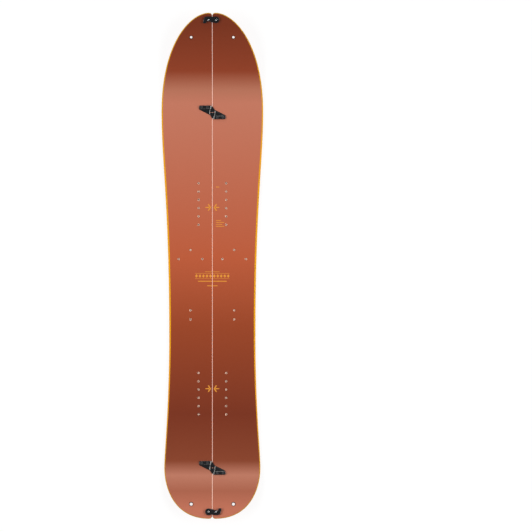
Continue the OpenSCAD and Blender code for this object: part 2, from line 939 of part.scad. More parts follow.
tip_bolt(1, -post_gap / 2, hook_high);  // nose_catch_bolt
hook(-1);  // tail_hook
pivot_bush(-1);  // tail_pivot_bush
tip_bolt(-1, post_gap / 2, shank_top + head_h);  // tail_pivot_bolt
pivot_nut(-1);  // tail_pivot_nut
catch_post(-1);  // tail_catch_post
tip_bolt(-1, -post_gap / 2, hook_high);  // tail_catch_bolt
hook_plate(0, -1);  // front_left_hook_plate
hook_plate(0, 1);  // front_right_hook_plate
hook_plate(1, -1);  // rear_left_hook_plate
hook_plate(1, 1);  // rear_right_hook_plate
plate_screws(0, -1);  // front_left_plate_screws
plate_screws(0, 1);  // front_right_plate_screws
plate_screws(1, -1);  // rear_left_plate_screws
plate_screws(1, 1);  // rear_right_plate_screws
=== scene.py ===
import json

import bmesh
import bpy
import numpy as np
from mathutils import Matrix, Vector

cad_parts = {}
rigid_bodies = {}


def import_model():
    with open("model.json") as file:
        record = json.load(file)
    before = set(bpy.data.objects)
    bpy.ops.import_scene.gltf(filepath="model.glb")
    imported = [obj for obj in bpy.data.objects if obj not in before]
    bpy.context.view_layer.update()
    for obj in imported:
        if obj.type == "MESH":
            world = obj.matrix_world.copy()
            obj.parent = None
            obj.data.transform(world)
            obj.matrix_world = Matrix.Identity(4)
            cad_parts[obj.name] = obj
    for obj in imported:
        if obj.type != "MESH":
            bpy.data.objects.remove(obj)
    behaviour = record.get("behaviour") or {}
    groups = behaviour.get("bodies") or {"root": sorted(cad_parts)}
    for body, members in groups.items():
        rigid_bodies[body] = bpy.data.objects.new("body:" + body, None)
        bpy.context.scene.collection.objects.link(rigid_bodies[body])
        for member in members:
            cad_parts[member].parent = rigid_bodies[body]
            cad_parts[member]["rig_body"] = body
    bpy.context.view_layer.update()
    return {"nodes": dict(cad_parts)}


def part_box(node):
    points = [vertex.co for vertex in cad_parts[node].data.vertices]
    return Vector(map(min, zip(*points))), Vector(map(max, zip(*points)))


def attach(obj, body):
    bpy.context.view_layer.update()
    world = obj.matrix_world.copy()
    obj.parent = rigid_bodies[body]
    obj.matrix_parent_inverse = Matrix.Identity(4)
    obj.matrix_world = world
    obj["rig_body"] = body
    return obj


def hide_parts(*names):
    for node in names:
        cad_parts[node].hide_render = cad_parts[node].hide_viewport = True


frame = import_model()

# Running base
# Each half runs on a sheet of sintered polyethylene, stone ground along its length and glued
# under the laminate between the steel edges. It is drilled for the tip bolts and skin holes.

# Sizes are in millimetres, as on the solids, and MM turns them into metres
MM = 0.001
HALVES = {"right": 1, "left": -1}
half_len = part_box("right_outer_edge")[1].y / MM
seam_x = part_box("right_outer_edge")[0].x / MM
# Half the width at the nose, the waist and the tail, with the y of each, and how far the handles of
# the curves between them reach, as shares of their spans
nose_half, nose_y = 156.0, 473.0
waist_half, waist_y = 132.5, -218.0
tail_half, tail_y = 147.5, -619.0
nose_tip_full, nose_side_full = 0.39, 0.70
tail_tip_full, tail_side_full = 0.76, 0.43
nose_handle, waist_front_handle = 0.23, 0.59
waist_rear_handle, tail_handle = 0.53, 0.12
corner_r = 9.0
tip_x = seam_x + corner_r
side_curves = np.array([
    [
        (tip_x, half_len),
        (tip_x + nose_tip_full * (nose_half - tip_x), half_len),
        (nose_half, nose_y + nose_side_full * (half_len - nose_y)),
        (nose_half, nose_y),
    ],
    [
        (nose_half, nose_y),
        (nose_half, nose_y - nose_handle * (nose_y - waist_y)),
        (waist_half, waist_y + waist_front_handle * (nose_y - waist_y)),
        (waist_half, waist_y),
    ],
    [
        (waist_half, waist_y),
        (waist_half, waist_y - waist_rear_handle * (waist_y - tail_y)),
        (tail_half, tail_y + tail_handle * (waist_y - tail_y)),
        (tail_half, tail_y),
    ],
    [
        (tail_half, tail_y),
        (tail_half, tail_y - tail_side_full * (half_len + tail_y)),
        (tip_x + tail_tip_full * (tail_half - tip_x), -half_len),
        (tip_x, -half_len),
    ],
])


def outline(steps=56):
    """The half's outer side from the nose tip to the tail tip, as points and inward directions.

    Four cubic Bezier curves end to end; the inward direction is square to each curve's way.
    """
    t = np.linspace(0, 1, steps, endpoint=False)
    place = np.stack([(1 - t) ** 3, 3 * t * (1 - t) ** 2, 3 * t * t * (1 - t), t ** 3])
    rate = np.stack([
        -((1 - t) ** 2), (1 - t) ** 2 - 2 * t * (1 - t), 2 * t * (1 - t) - t * t, t * t
    ])
    points = np.einsum("ks,ckd->csd", place, side_curves).reshape(-1, 2)
    ways = np.einsum("ks,ckd->csd", rate, side_curves).reshape(-1, 2)
    points = np.vstack([points, side_curves[-1, -1]])
    ways = np.vstack([ways, side_curves[-1, -1] - side_curves[-1, -2]])
    inward = np.stack([ways[:, 1], -ways[:, 0]], -1)
    return points, inward / np.linalg.norm(ways, axis=1, keepdims=True)


def bend(run, length, angle):
    """Height of a tip: an arc over the bend's length, then the straight line that it ends in."""
    radius = length / np.sin(angle)
    bent = np.clip(run, 0, length)
    past = np.maximum(run - length, 0)
    return radius - np.sqrt(radius ** 2 - bent ** 2) + past * np.tan(angle)


nose_bend_y, nose_bend_len, nose_angle = 470.0, 143.0, np.radians(14)
tail_bend_y, tail_bend_len, tail_angle = -565.0, 92.0, np.radians(12)
nose_flat_y = nose_bend_y + nose_bend_len
tail_flat_y = tail_bend_y - tail_bend_len
core_full = (-490.0, 290.0)
core_mid_t, core_tip_t = 7.0, 2.0


def level(y, above, core=0.0):
    """Height at y of a layer: the base's height, a constant, and a share of the core's thickness."""
    base = bend(y - nose_bend_y, nose_bend_len, nose_angle)
    base = base + bend(tail_bend_y - y, tail_bend_len, tail_angle)
    thins = (tail_flat_y, *core_full, nose_flat_y)
    core_t = np.interp(y, thins, (core_tip_t, core_mid_t, core_mid_t, core_tip_t))
    return base + above + core * core_t


def sheet(side_in, seam_in, low, high, columns=9):
    """A layer of a half, drawn in from the outer side and from the seam.

    Each row crosses the half at one y, out along its lower level and back along its upper one.
    """
    edge, inward = outline()
    outer, y = np.hsplit(edge + side_in * inward, 2)
    past_corner = np.clip((np.abs(y) - half_len + corner_r) / (corner_r - side_in), 0, 1)
    inner = tip_x - (corner_r - seam_in) * np.sqrt(1 - past_corner ** 2)
    across = inner + (outer - inner) * np.linspace(0, 1, columns)
    lower = np.stack(np.broadcast_arrays(across, y, level(y, *low)), -1)
    upper = np.stack(np.broadcast_arrays(across, y, level(y, *high)), -1)
    return np.concatenate([lower, upper[:, ::-1]], 1)


def turned(profile, segments=48):
    """A turned shape: rows of (radius, height, six) carried round the upright axis.

    Where six is 1 the row is a hexagon: its radius is the one across flats over the cosine of
    the angle from the middle of the nearest flat.
    """
    radius, height, six = np.array(profile, float).T[..., None]
    angle = np.linspace(0, 2 * np.pi, segments, endpoint=False)
    to_flat = 1 / np.cos((angle + np.pi / 6) % (np.pi / 3) - np.pi / 6)
    radius = radius * (1 + six * (to_flat - 1))
    return np.stack(np.broadcast_arrays(radius * np.cos(angle), radius * np.sin(angle), height), -1)


# The core lies on edge_h of base and laminate, under skin_t of laminate and topsheet
skin_t = 1.4
edge_h = 2.1


def top_z(y):
    """Height of the topsheet's upper face at y."""
    return level(y, edge_h + skin_t, 1)


def on_top(points, x, y, slope=0.0, turn=0.0):
    """Sets a shape on the top at (x, y), turned about its upright axis and then tilted lengthways."""
    c, s = np.cos(turn), np.sin(turn)
    spin = np.array([[c, -s, 0], [s, c, 0], [0, 0, 1]])
    c, s = np.cos(slope), np.sin(slope)
    tilt = np.array([[1, 0, 0], [0, c, -s], [0, s, c]])
    return points @ (tilt @ spin).T + [x, y, top_z(y)]


weld_gap = 0.002


def clean(mesh, triangles=False):
    """Welds points that nearly meet, drops the faces that this empties, and turns the rest outwards.

    triangles cuts the faces into triangles first, so that a carved mesh stays closed.
    """
    shell = bmesh.new()
    shell.from_mesh(mesh)
    if triangles:
        bmesh.ops.triangulate(shell, faces=shell.faces)
    bmesh.ops.remove_doubles(shell, verts=shell.verts, dist=weld_gap * MM)
    bmesh.ops.dissolve_degenerate(shell, edges=shell.edges, dist=weld_gap * MM)
    bmesh.ops.recalc_face_normals(shell, faces=shell.faces)
    shell.to_mesh(mesh)
    shell.free()


def make_mesh(name, grids, wrap=False, bright=()):
    """A mesh of closed shells, one from each grid of rows of points, in millimetres.

    Each row is a closed ring. The end rows are closed by a face, or joined if wrap is set.
    bright lists the row and the column of each face that takes the piece's second finish.
    """
    points, faces, count = [], [], 0
    for grid in grids:
        rows, ring = grid.shape[:2]
        index = np.arange(rows * ring).reshape(rows, ring) + count
        here = index if wrap else index[:-1]
        after = np.roll(index, -1, 0) if wrap else index[1:]
        quads = np.stack([here, np.roll(here, -1, 1), np.roll(after, -1, 1), after], -1)
        faces += quads.reshape(-1, 4).tolist()
        faces += [] if wrap else [index[0].tolist(), index[-1].tolist()]
        points.append(grid.reshape(-1, 3))
        count += rows * ring
    mesh = bpy.data.meshes.new(name)
    mesh.from_pydata(np.concatenate(points) * MM, [], faces)
    for row, column in bright:
        mesh.polygons[row * ring + column % ring].material_index = 1
    clean(mesh)
    return mesh


def smooth(piece, crease=32):
    """Shades a piece smooth except across edges sharper than crease, in degrees."""
    piece.data.shade_smooth()
    piece.data.set_sharp_from_angle(angle=np.radians(crease))


def make_piece(name, grids, *finishes, wrap=False, crease=32, bright=()):
    """A piece from grids of points, with its finishes, shaded smooth up to its crease."""
    piece = bpy.data.objects.new(name, make_mesh(name, grids, wrap, bright))
    bpy.context.scene.collection.objects.link(piece)
    for finish in finishes:
        piece.data.materials.append(finish)
    smooth(piece, crease)
    return piece


def carve(piece, grids, operation="DIFFERENCE", bright=()):
    """Cuts shapes out of a piece, or joins them to it, and keeps the result as the piece's mesh."""
    tool = bpy.data.objects.new("tool", make_mesh("tool", grids, bright=bright))
    bpy.context.scene.collection.objects.link(tool)
    cut = piece.modifiers.new("cut", "BOOLEAN")
    cut.operation = operation
    cut.solver = "EXACT"
    cut.object = tool
    done = piece.evaluated_get(bpy.context.evaluated_depsgraph_get())
    made = bpy.data.meshes.new_from_object(done)
    piece.modifiers.clear()
    piece.data = made
    bpy.data.objects.remove(tool)
    smooth(piece)


def colour(code):
    """Linear RGBA of an sRGB hex colour."""
    srgb = np.array([int(code[i:i + 2], 16) for i in (1, 3, 5)]) / 255
    linear = np.where(srgb <= 0.04045, srgb / 12.92, ((srgb + 0.055) / 1.055) ** 2.4)
    return (*linear, 1.0)


def add(tree, kind, inputs=None, **settings):
    """Adds a node, sets its properties, and sets or links its inputs."""
    made = tree.nodes.new("ShaderNode" + kind)
    for key, value in settings.items():
        setattr(made, key, value)
    for key, value in (inputs or {}).items():
        if isinstance(value, bpy.types.NodeSocket):
            tree.links.new(value, made.inputs[key])
        else:
            made.inputs[key].default_value = value
    return made


def new_material(name):
    """A new material, with its node tree, its Principled shader and its Object coordinates."""
    made = bpy.data.materials.new(name)
    made.use_nodes = True
    tree = made.node_tree
    shader = tree.nodes["Principled BSDF"]
    return made, tree, shader, add(tree, "TexCoord").outputs["Object"]


# Most of a noise lies between these two values, which a Map Range node takes as its inputs 1 and 2
noise_range = {1: 0.3, 2: 0.7}


def fade(tree, place, stops, pattern, dim, lift):
    """Colours along the board: a ramp over y, with stops of (y in millimetres, hex colour).

    The pattern multiplies them by a factor that goes from dim to lift over a noise's range.
    """
    along = add(tree, "SeparateXYZ", {0: place}).outputs["Y"]
    share = add(tree, "MapRange", {0: along, 1: -half_len * MM, 2: half_len * MM})
    ramp = add(tree, "ValToRGB", {0: share.outputs[0]})
    elements = ramp.color_ramp.elements
    for _ in stops[2:]:
        elements.new(0.5)
    for element, (y, code) in zip(elements, sorted(stops)):
        element.position = (y + half_len) / (2 * half_len)
        element.color = colour(code)
    tone = add(tree, "MapRange", {0: pattern, **noise_range, 3: dim, 4: lift})
    tint = add(
        tree, "Mix", {0: 1.0, 6: ramp.outputs["Color"], 7: tone.outputs[0]},
        data_type="RGBA", blend_type="MULTIPLY",
    )
    return tint.outputs[2]


def streaks(tree, place, sizes, **inputs):
    """Noise drawn out into streaks: its grains have these sizes, in millimetres, along X, Y and Z."""
    stretch = add(tree, "Mapping", {0: place, 3: [1 / (size * MM) for size in sizes]})
    return add(tree, "TexNoise", {0: stretch.outputs[0], "Scale": 1.0, **inputs}).outputs[0]


# Stone-ground polyethylene is satin, and its lengthways structure softens its gloss into streaks.
# The real structure is a fifth of a millimetre wide; it is drawn wider, so that it shows.
polyethylene, tree, shader, place = new_material("ground_polyethylene")
# The ramp along the base is partly a printed rust fade and partly painted light: its pale stretch behind
# the nose and its pale bands near the tail are painted sheen, and its darkest stretch before the tail is
# painted shade
base_print_sheen_and_shade_stops = [
    (-734, "#c4765d"), (-672, "#b2654a"), (-626, "#cc866f"), (-595, "#b05f44"), (-565, "#8b3414"),
    (-25, "#b24e27"), (380, "#ca8971"), (504, "#c98770"), (601, "#b34b26"), (740, "#b04722"),
]
grind_w, grind_len, grind_deep = 1.6, 260.0, 8.0
lines = streaks(tree, place, (grind_w, grind_len, grind_deep), Detail=3.0)
tinted = fade(tree, place, base_print_sheen_and_shade_stops, lines, 0.94, 1.05)
tree.links.new(tinted, shader.inputs["Base Color"])
gloss = add(tree, "MapRange", {0: lines, **noise_range, 3: 0.34, 4: 0.5})
tree.links.new(gloss.outputs[0], shader.inputs["Roughness"])
relief = add(tree, "Bump", {"Height": lines, "Strength": 0.25, "Distance": 0.03 * MM})
tree.links.new(relief.outputs[0], shader.inputs["Normal"])
shader.inputs["IOR"].default_value = 1.51

base_t = 1.3
edge_w = 2.2
hook_in, post_gap = 20.5, 23.0
bolt_head_r, bolt_r = 5.0, 2.5
# Pieces that touch are drawn this far apart, so that no two faces share a plane
fit = 0.05
# The board's two ends, 1 at the nose and -1 at the tail, with the slope of each
ENDS = {1: nose_angle, -1: -tail_angle}
skin_x, skin_ys = 64.7, {1: half_len - 74.8, -1: -half_len + 45.0}
skin_rs, grommet_wall = {1: 3.6, -1: 4.6}, 0.8
# Drills and other cutting shapes reach this far, well past the board's faces
deep = 12.0


def hole(radius, x, y, slope=0.0):
    """A drill's plain round shape, square to the topsheet at (x, y)."""
    return on_top(turned([(radius, -deep, 0), (radius, deep / 2, 0)]), x, y, slope)


def tip_holes(bolt):
    """Holes for a half's two tip bolts, of a given radius, and for its two skin grommets."""
    holes = []
    for end, slope in ENDS.items():
        holes.append(hole(bolt + fit, post_gap / 2, end * (half_len - hook_in), slope))
        holes.append(hole(skin_rs[end] + grommet_wall + fit, skin_x, skin_ys[end], slope))
    return holes


for half, side in HALVES.items():
    mirror = [side, 1, 1]
    base = make_piece(
        half + "_running_base", [sheet(edge_w, edge_w, (0,), (base_t,)) * mirror], polyethylene
    )
    carve(base, [h * mirror for h in tip_holes(bolt_head_r)])
    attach(base, half + "_half")
    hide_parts(half + "_base_sheet")

# Steel edges
# Rolled steel strips frame the base: carbon steel round the outer side and the tips, and stainless
# steel along the seam. They are bonded in with the base and ground with it.

scratch_w, scratch_len = 0.5, 9.0


def ground_steel(name, dark, light):
    """Steel ground lengthways, which streaks its colour and its sheen from a dark tone to a light one."""
    made, tree, shader, place = new_material(name)
    grind = streaks(tree, place, (scratch_w, scratch_len, scratch_w), Detail=4.0)
    sheen = add(tree, "MapRange", {0: grind, **noise_range, 3: 0.22, 4: 0.42})
    shade = add(tree, "ValToRGB", {0: grind})
    shade.color_ramp.elements[0].color = colour(dark)
    shade.color_ramp.elements[1].color = colour(light)
    tree.links.new(shade.outputs[0], shader.inputs["Base Color"])
    tree.links.new(sheen.outputs[0], shader.inputs["Roughness"])
    shader.inputs["Metallic"].default_value = 1.0
    return made


# Carbon steel dulls to a dark grey round the outside, and the seam's stainless steel stays bright
edge_steel = ground_steel("ground_carbon_steel", "#5e5c5a", "#82807d")
seam_steel = ground_steel("ground_stainless_steel", "#9a9b9d", "#c9cacc")


def swept(path, inward, section, squeeze=None):
    """A section carried along a path: rows of (distance in, height above the base, core share).

    A point is the path's own plus its distance in along the inward direction, at its layer's
    height. squeeze gives the distances in at each y of the path, if they change along it.
    """
    into, above, core = np.array(section, float).T
    into = squeeze(into, path[:, 1:]) if squeeze else into[None]
    plan = path[:, None] + into[..., None] * inward[:, None]
    height = level(plan[..., 1], above, core)
    return np.concatenate([plan, height[..., None]], -1)


corner_steps = 14


def rim_path():
    """The outer side with the rounded corners that join it to the seam, and its inward directions."""
    points, inward = outline()
    angle = np.radians(np.linspace(0, 90, corner_steps, endpoint=False))[:, None]
    turn = np.hstack([np.cos(angle), -np.sin(angle)])
    corner = np.array([tip_x, half_len - corner_r]) - corner_r * turn
    flip = [1, -1]
    path = np.vstack([corner, points, corner[::-1] * flip])
    return path, np.vstack([turn, inward, turn[::-1] * flip])


def seam_path(y_from, y_to, rows=180):
    """The straight line of the seam from one y to another, with its inward direction."""
    y = np.linspace(y_from, y_to, rows)
    path = np.stack([np.full_like(y, seam_x), y], -1)
    return path, np.tile([1.0, 0.0], (rows, 1))


arris = 0.2
edge_section = [
    (arris, 0, 0), (edge_w, 0, 0), (edge_w, edge_h, 0),
    (arris / 2, edge_h, 0), (0, edge_h - arris / 2, 0), (0, arris, 0),
]
corner_y = half_len - corner_r
for half, side in HALVES.items():
    mirror = [side, 1, 1]
    outer = make_piece(half + "_steel_edge", [swept(*rim_path(), edge_section) * mirror], edge_steel)
    inner = make_piece(
        half + "_seam_edge", [swept(*seam_path(corner_y, -corner_y), edge_section) * mirror], seam_steel
    )
    for edge, node in ((outer, "_outer_edge"), (inner, "_inner_edge")):
        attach(edge, half + "_half")
        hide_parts(half + node)

# Glass laminates
# Woven glass cloth set in epoxy lies under and over the core. It is pressed with the rest of the
# half, and only its thin edges show beside the topsheet.

# Epoxy is a clear pale yellow that darkens between the threads, and its cut edge is smooth and glossy.
# A wave texture repeats once in wave_turn over its scale.
glass_epoxy, tree, shader, place = new_material("glass_epoxy")
thread_mm, wave_turn = 2.5, 0.31
threads = {0: place, "Scale": wave_turn / (thread_mm * MM), "Distortion": 0.6}
warp = add(tree, "TexWave", threads)
weft = add(tree, "TexWave", threads, bands_direction="Y")
cloth = add(tree, "Math", {0: warp.outputs["Fac"], 1: weft.outputs["Fac"]}, operation="MULTIPLY")
resin = add(tree, "ValToRGB", {0: cloth.outputs[0]})
resin.color_ramp.elements[0].color = colour("#cdbf9c")
resin.color_ramp.elements[1].color = colour("#ebe2c8")
tree.links.new(resin.outputs[0], shader.inputs["Base Color"])
shader.inputs["Roughness"].default_value = 0.35
shader.inputs["IOR"].default_value = 1.55
for half in HALVES:
    for layer in ("_lower_laminate", "_upper_laminate"):
        frame["nodes"][half + layer].data.materials.clear()
        frame["nodes"][half + layer].data.materials.append(glass_epoxy)

# Wood core
# Long poplar and beech strips are glued side by side and planed to the core's thickness.
# The core is drilled for the inserts and sealed in by the laminates and the sidewalls.

# Planed wood is matt. Each strip has a tone of its own, with long grain in it.
core_wood, tree, shader, place = new_material("poplar_and_beech_strips")
strip_w, grain_w, grain_len = 18.0, 2.2, 90.0
strips = add(tree, "Mapping", {0: place, 3: (1 / (strip_w * MM), 0.0, 0.0)})
count = add(tree, "VectorMath", {0: strips.outputs[0]}, operation="FLOOR")
strip = add(tree, "TexWhiteNoise", {0: count.outputs[0]})
grain = streaks(tree, place, (grain_w, grain_len, grain_w), Detail=5.0, Distortion=0.8)
mixed = add(tree, "Mix", {0: 0.55, 2: strip.outputs[0], 3: grain})
wood = add(tree, "ValToRGB", {0: mixed.outputs[0]})
wood.color_ramp.elements[0].color = colour("#b98f58")
wood.color_ramp.elements[1].color = colour("#e6cda0")
tree.links.new(wood.outputs[0], shader.inputs["Base Color"])
shader.inputs["Roughness"].default_value = 0.6
for half in HALVES:
    frame["nodes"][half + "_wood_core"].data.materials.clear()
    frame["nodes"][half + "_wood_core"].data.materials.append(core_wood)

# Sidewalls and tip spacers
# Cast ABS strips seal the core's outer side, and ABS spacers fill the tips where the core stops.
# Their upper edges are milled to a shoulder after pressing, which shows as the rim of the top.

# ABS is dyed right through, so milling leaves a full, even colour with the dull sheen of a cut face
# and faint marks along the cutter's way
cast_abs, tree, shader, place = new_material("cast_abs")
rim_stops = [
    (-770, "#d09a08"), (-600, "#d89a06"), (-420, "#ec9e04"), (-100, "#f4ac04"), (350, "#f0a604"),
    (560, "#e2a004"), (770, "#d09800"),
]
cut_len, cut_h = 6.0, 0.4
milled = streaks(tree, place, (cut_len, cut_len, cut_h), Detail=3.0)
tinted = fade(tree, place, rim_stops, milled, 0.93, 1.05)
tree.links.new(tinted, shader.inputs["Base Color"])
gloss = add(tree, "MapRange", {0: milled, **noise_range, 3: 0.52, 4: 0.68})
tree.links.new(gloss.outputs[0], shader.inputs["Roughness"])
relief = add(tree, "Bump", {"Height": milled, "Strength": 0.2, "Distance": 0.05 * MM})
tree.links.new(relief.outputs[0], shader.inputs["Normal"])
shader.inputs["IOR"].default_value = 1.53
shader.inputs["Specular IOR Level"].default_value = 0.15

sidewall_w = 8.0
rim_w, seam_rim_w = 5.4, 0.8
rim_full, rim_tips = (-180.0, 260.0), (2.0, 2.4)
spacer_y = {1: half_len - 135.0, -1: -half_len + 103.0}
rim_below = 0.1
rim_top = edge_h + skin_t - rim_below
# The milled shoulder, from the upright outer wall up to the topsheet's edge
shoulder = [
    (0.0, edge_h + 0.1, 0.5), (0.3, edge_h + 0.25, 0.66), (1.0, edge_h + 0.5, 0.82),
    (2.0, edge_h + 0.75, 0.93), (3.0, edge_h + 0.95, 0.98), (4.0, edge_h + 1.1, 1.0),
    (rim_w - fit, rim_top, 1.0),
]
wall_section = [
    (arris, edge_h, 0), (0, edge_h + arris, 0), *shoulder, (rim_w - fit, edge_h, 1),
    (sidewall_w, edge_h, 1), (sidewall_w, edge_h, 0),
]
spacer_section = [(0, edge_h, 0), (0, edge_h + arris, 0), *shoulder, (rim_w - fit, edge_h, 1)]


def along_side(y_from, y_to):
    """The stretch of the outer side between two y, with an exact point at each end."""
    path, inward = outline()
    inside = (path[:, 1] < y_from) & (path[:, 1] > y_to)
    ends = np.array([y_from, y_to])
    order = np.argsort(path[:, 1])
    at_ends = [np.interp(ends, path[order, 1], row[order]) for row in (*path.T, *inward.T)]
    full = np.vstack([np.hstack([path, inward])[inside], np.stack(at_ends, -1)])
    full = full[np.argsort(-full[:, 1])]
    return full[:, :2], full[:, 2:]


def rim_at(y):
    """Width of the shoulder at y: full along the middle, narrowing evenly to each tip."""
    return np.interp(y, (-half_len, *rim_full, half_len), (rim_tips[0], rim_w, rim_w, rim_tips[1]))


def on_shoulder(into, y):
    """Distances in from the outer side at y, with those on the shoulder squeezed to its width there."""
    return np.where(into < rim_w, into * rim_at(y) / rim_w, into)


def spacer(end):
    """A tip spacer: the tip's plan, drawn in row by row up the shoulder, from its foot to its top.

    A row is drawn in by its distance on the outer side, by the seam strip's width along the
    seam, and not at all where the spacer meets the core.
    """
    y_core = end * spacer_y[end]
    path, inward = along_side(half_len, spacer_y[1]) if end > 0 else along_side(spacer_y[-1], -half_len)
    if end < 0:
        path, inward = path[::-1] * [1, -1], inward[::-1] * [1, -1]
    angle = np.radians(np.linspace(0, 90, corner_steps, endpoint=False))
    x = tip_x - (corner_r - seam_rim_w) * np.cos(angle)
    rows = []
    for into, above, core in spacer_section:
        y = half_len - corner_r + (corner_r - on_shoulder(into, end * half_len)) * np.sin(angle)
        side_row = path + on_shoulder(into, end * path[:, 1:]) * inward
        side_row[-1, 1] = y_core
        plan = np.vstack([np.stack([x, y], -1), side_row, [(seam_x + seam_rim_w, y_core)]])
        plan[:, 1] *= end
        rows.append(np.hstack([plan, level(plan[:, 1:], above, core)]))
    return np.stack(rows)


for half, side in HALVES.items():
    mirror = [side, 1, 1]
    wall = make_piece(
        half + "_sidewall",
        [swept(*along_side(spacer_y[1], spacer_y[-1]), wall_section, on_shoulder) * mirror],
        cast_abs,
    )
    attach(wall, half + "_half")
    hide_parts(half + "_outer_sidewall")
    for end, tip in ((1, "_nose_spacer"), (-1, "_tail_spacer")):
        filler = make_piece(half + tip + "_block", [spacer(end) * mirror], cast_abs)
        carve(filler, [h * mirror for h in tip_holes(bolt_r)])
        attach(filler, half + "_half")
        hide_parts(half + tip)

# Seam sidewalls
# Pale ABS strips seal the core along the seam. Their upper edges are eased beside the topsheet,
# so that the closed seam shows as a pale line.

# Scraped ABS is matt, and pale where the blade has stretched it
pale_abs, tree, shader, place = new_material("pale_abs")
# Along the board the strip's colour follows the topsheet: darker towards the nose, with paler stretches at
# the front and the tail that are painted sheen
seam_tone_and_sheen_stops = [
    (-770, "#f0a47c"), (-650, "#f0a47c"), (-560, "#e07e54"), (-324, "#e37e53"), (0, "#f8915a"),
    (528, "#f19e78"), (620, "#d57d56"), (770, "#bf7058"),
]
scrape_mm = 3.0
speckle = add(tree, "TexNoise", {0: place, "Scale": 1 / (scrape_mm * MM), "Detail": 3.0})
tinted = fade(tree, place, seam_tone_and_sheen_stops, speckle.outputs[0], 0.95, 1.04)
tree.links.new(tinted, shader.inputs["Base Color"])
shader.inputs["Roughness"].default_value = 0.6
shader.inputs["IOR"].default_value = 1.53
shader.inputs["Specular IOR Level"].default_value = 0.25

seam_wall_w = 5.0
# The eased edge, from the upright wall up to the topsheet's edge
seam_edge = [
    (0, edge_h, 0), (0, edge_h + 0.7, 1), (0.2, edge_h + 1.1, 1), (seam_rim_w - fit, rim_top, 1),
]
seam_section = [
    *seam_edge, (seam_rim_w - fit, edge_h, 1), (seam_wall_w, edge_h, 1), (seam_wall_w, edge_h, 0),
]
strip_section = [*seam_edge, (seam_rim_w - fit, edge_h, 0)]
for half, side in HALVES.items():
    strips = [
        swept(*seam_path(spacer_y[1], spacer_y[-1]), seam_section),
        swept(*seam_path(corner_y, spacer_y[1] + fit, 12), strip_section),
        swept(*seam_path(spacer_y[-1] - fit, -corner_y, 12), strip_section),
    ]
    wall = make_piece(half + "_seam_wall", [strip * [side, 1, 1] for strip in strips], pale_abs)
    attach(wall, half + "_half")
    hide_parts(half + "_seam_sidewall")

# Threaded inserts
# Stainless steel inserts for the bindings, the touring bracket and the heel riser. They are turned
# with a flange that is trapped under the core, tapped, and end flush with the topsheet.


def mottled(name, grain_mm, detail, dark, light):
    """A material whose colour wanders between two tones, by noise over grains of a size.

    It comes with its node tree, its shader and the noise.
    """
    made, tree, shader, place = new_material(name)
    grains = add(tree, "TexNoise", {0: place, "Scale": 1 / (grain_mm * MM), "Detail": detail})
    shade = add(tree, "ValToRGB", {0: grains.outputs[0]})
    shade.color_ramp.elements[0].color = colour(dark)
    shade.color_ramp.elements[1].color = colour(light)
    tree.links.new(shade.outputs[0], shader.inputs["Base Color"])
    return made, tree, shader, grains


# Bead blasting leaves stainless steel pale and soft, with no clear reflection in it.
# The blasting's pits are drawn larger than they are, so that they show.
blasted_steel, tree, shader, pits = mottled("bead_blasted_steel", 0.7, 3.0, "#f3dccd", "#ffebde")
sheen = add(tree, "MapRange", {0: pits.outputs[0], **noise_range, 3: 0.58, 4: 0.72})
tree.links.new(sheen.outputs[0], shader.inputs["Roughness"])
shader.inputs["Metallic"].default_value = 1.0

insert_x, insert_pitch, insert_rows = 42.3, 25.4, 6
stances = {"_front_inserts": 190.0, "_rear_inserts": -392.0}
bracket_x, bracket_half_w, bracket_ys = 67.0, 36.3, (49.0, 21.0)
riser_ys = (-136.3, -164.1)
barrel_r, mouth_rim_r, thread_r, flange_r, flange_t = 4.2, 3.25, 2.9, 8.0, 1.2
mouth_gap, mouth_low, mouth_deep = 0.4, 0.03, 0.5
mouth_ease, mouth_ease_h, bevel_out, bevel_in = 0.1, 0.15, 0.2, 0.3
thread_pitch, thread_depth = 1.0, 0.35
thread_floor, drill_point = 3.4, 0.6
step = (np.arange(insert_rows) - (insert_rows - 1) / 2) * insert_pitch
insert_places = {node: [(insert_x, y + s) for s in step] for node, y in stances.items()}
insert_places["_bracket_inserts"] = [
    (bracket_x, bracket_ys[0]),
    (bracket_x - bracket_half_w, bracket_ys[1]),
    (bracket_x + bracket_half_w, bracket_ys[1]),
]
insert_places["_riser_inserts"] = [(bracket_x, y) for y in riser_ys]
insert_h = core_mid_t + skin_t
topsheet_t = 0.6
# Heights are from the topsheet's face, and the thread is a row of ridges one pitch apart
insert_profile = [
    (0, -insert_h, 0), (flange_r, -insert_h, 0), (flange_r, flange_t - insert_h, 0),
    (barrel_r, flange_t - insert_h, 0), (barrel_r, -topsheet_t - fit, 0),
    (mouth_rim_r, -topsheet_t - fit, 0), (mouth_rim_r, -mouth_ease_h, 0),
    (mouth_rim_r - mouth_ease, -mouth_low, 0), (thread_r + bevel_out, -mouth_low, 0),
    (thread_r - bevel_in, -mouth_deep, 0),
]
for depth in np.arange(thread_pitch, thread_floor - thread_pitch, thread_pitch):
    insert_profile += [(thread_r - thread_depth, -depth, 0), (thread_r, -depth - thread_pitch / 2, 0)]
insert_profile += [(thread_r - thread_depth, -thread_floor, 0), (0, -thread_floor - drill_point, 0)]
for half, side in HALVES.items():
    for node, places in insert_places.items():
        shape = turned(insert_profile, 36)
        inserts = make_piece(
            half + node + "_set", [on_top(shape, side * x, y) for x, y in places], blasted_steel
        )
        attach(inserts, half + "_half")
        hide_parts(half + node)

# Sockets for the plate screws
# Short turned stainless steel sockets sit in the core under each hook plate and take its two
# screws. They are glued in before the half is pressed.

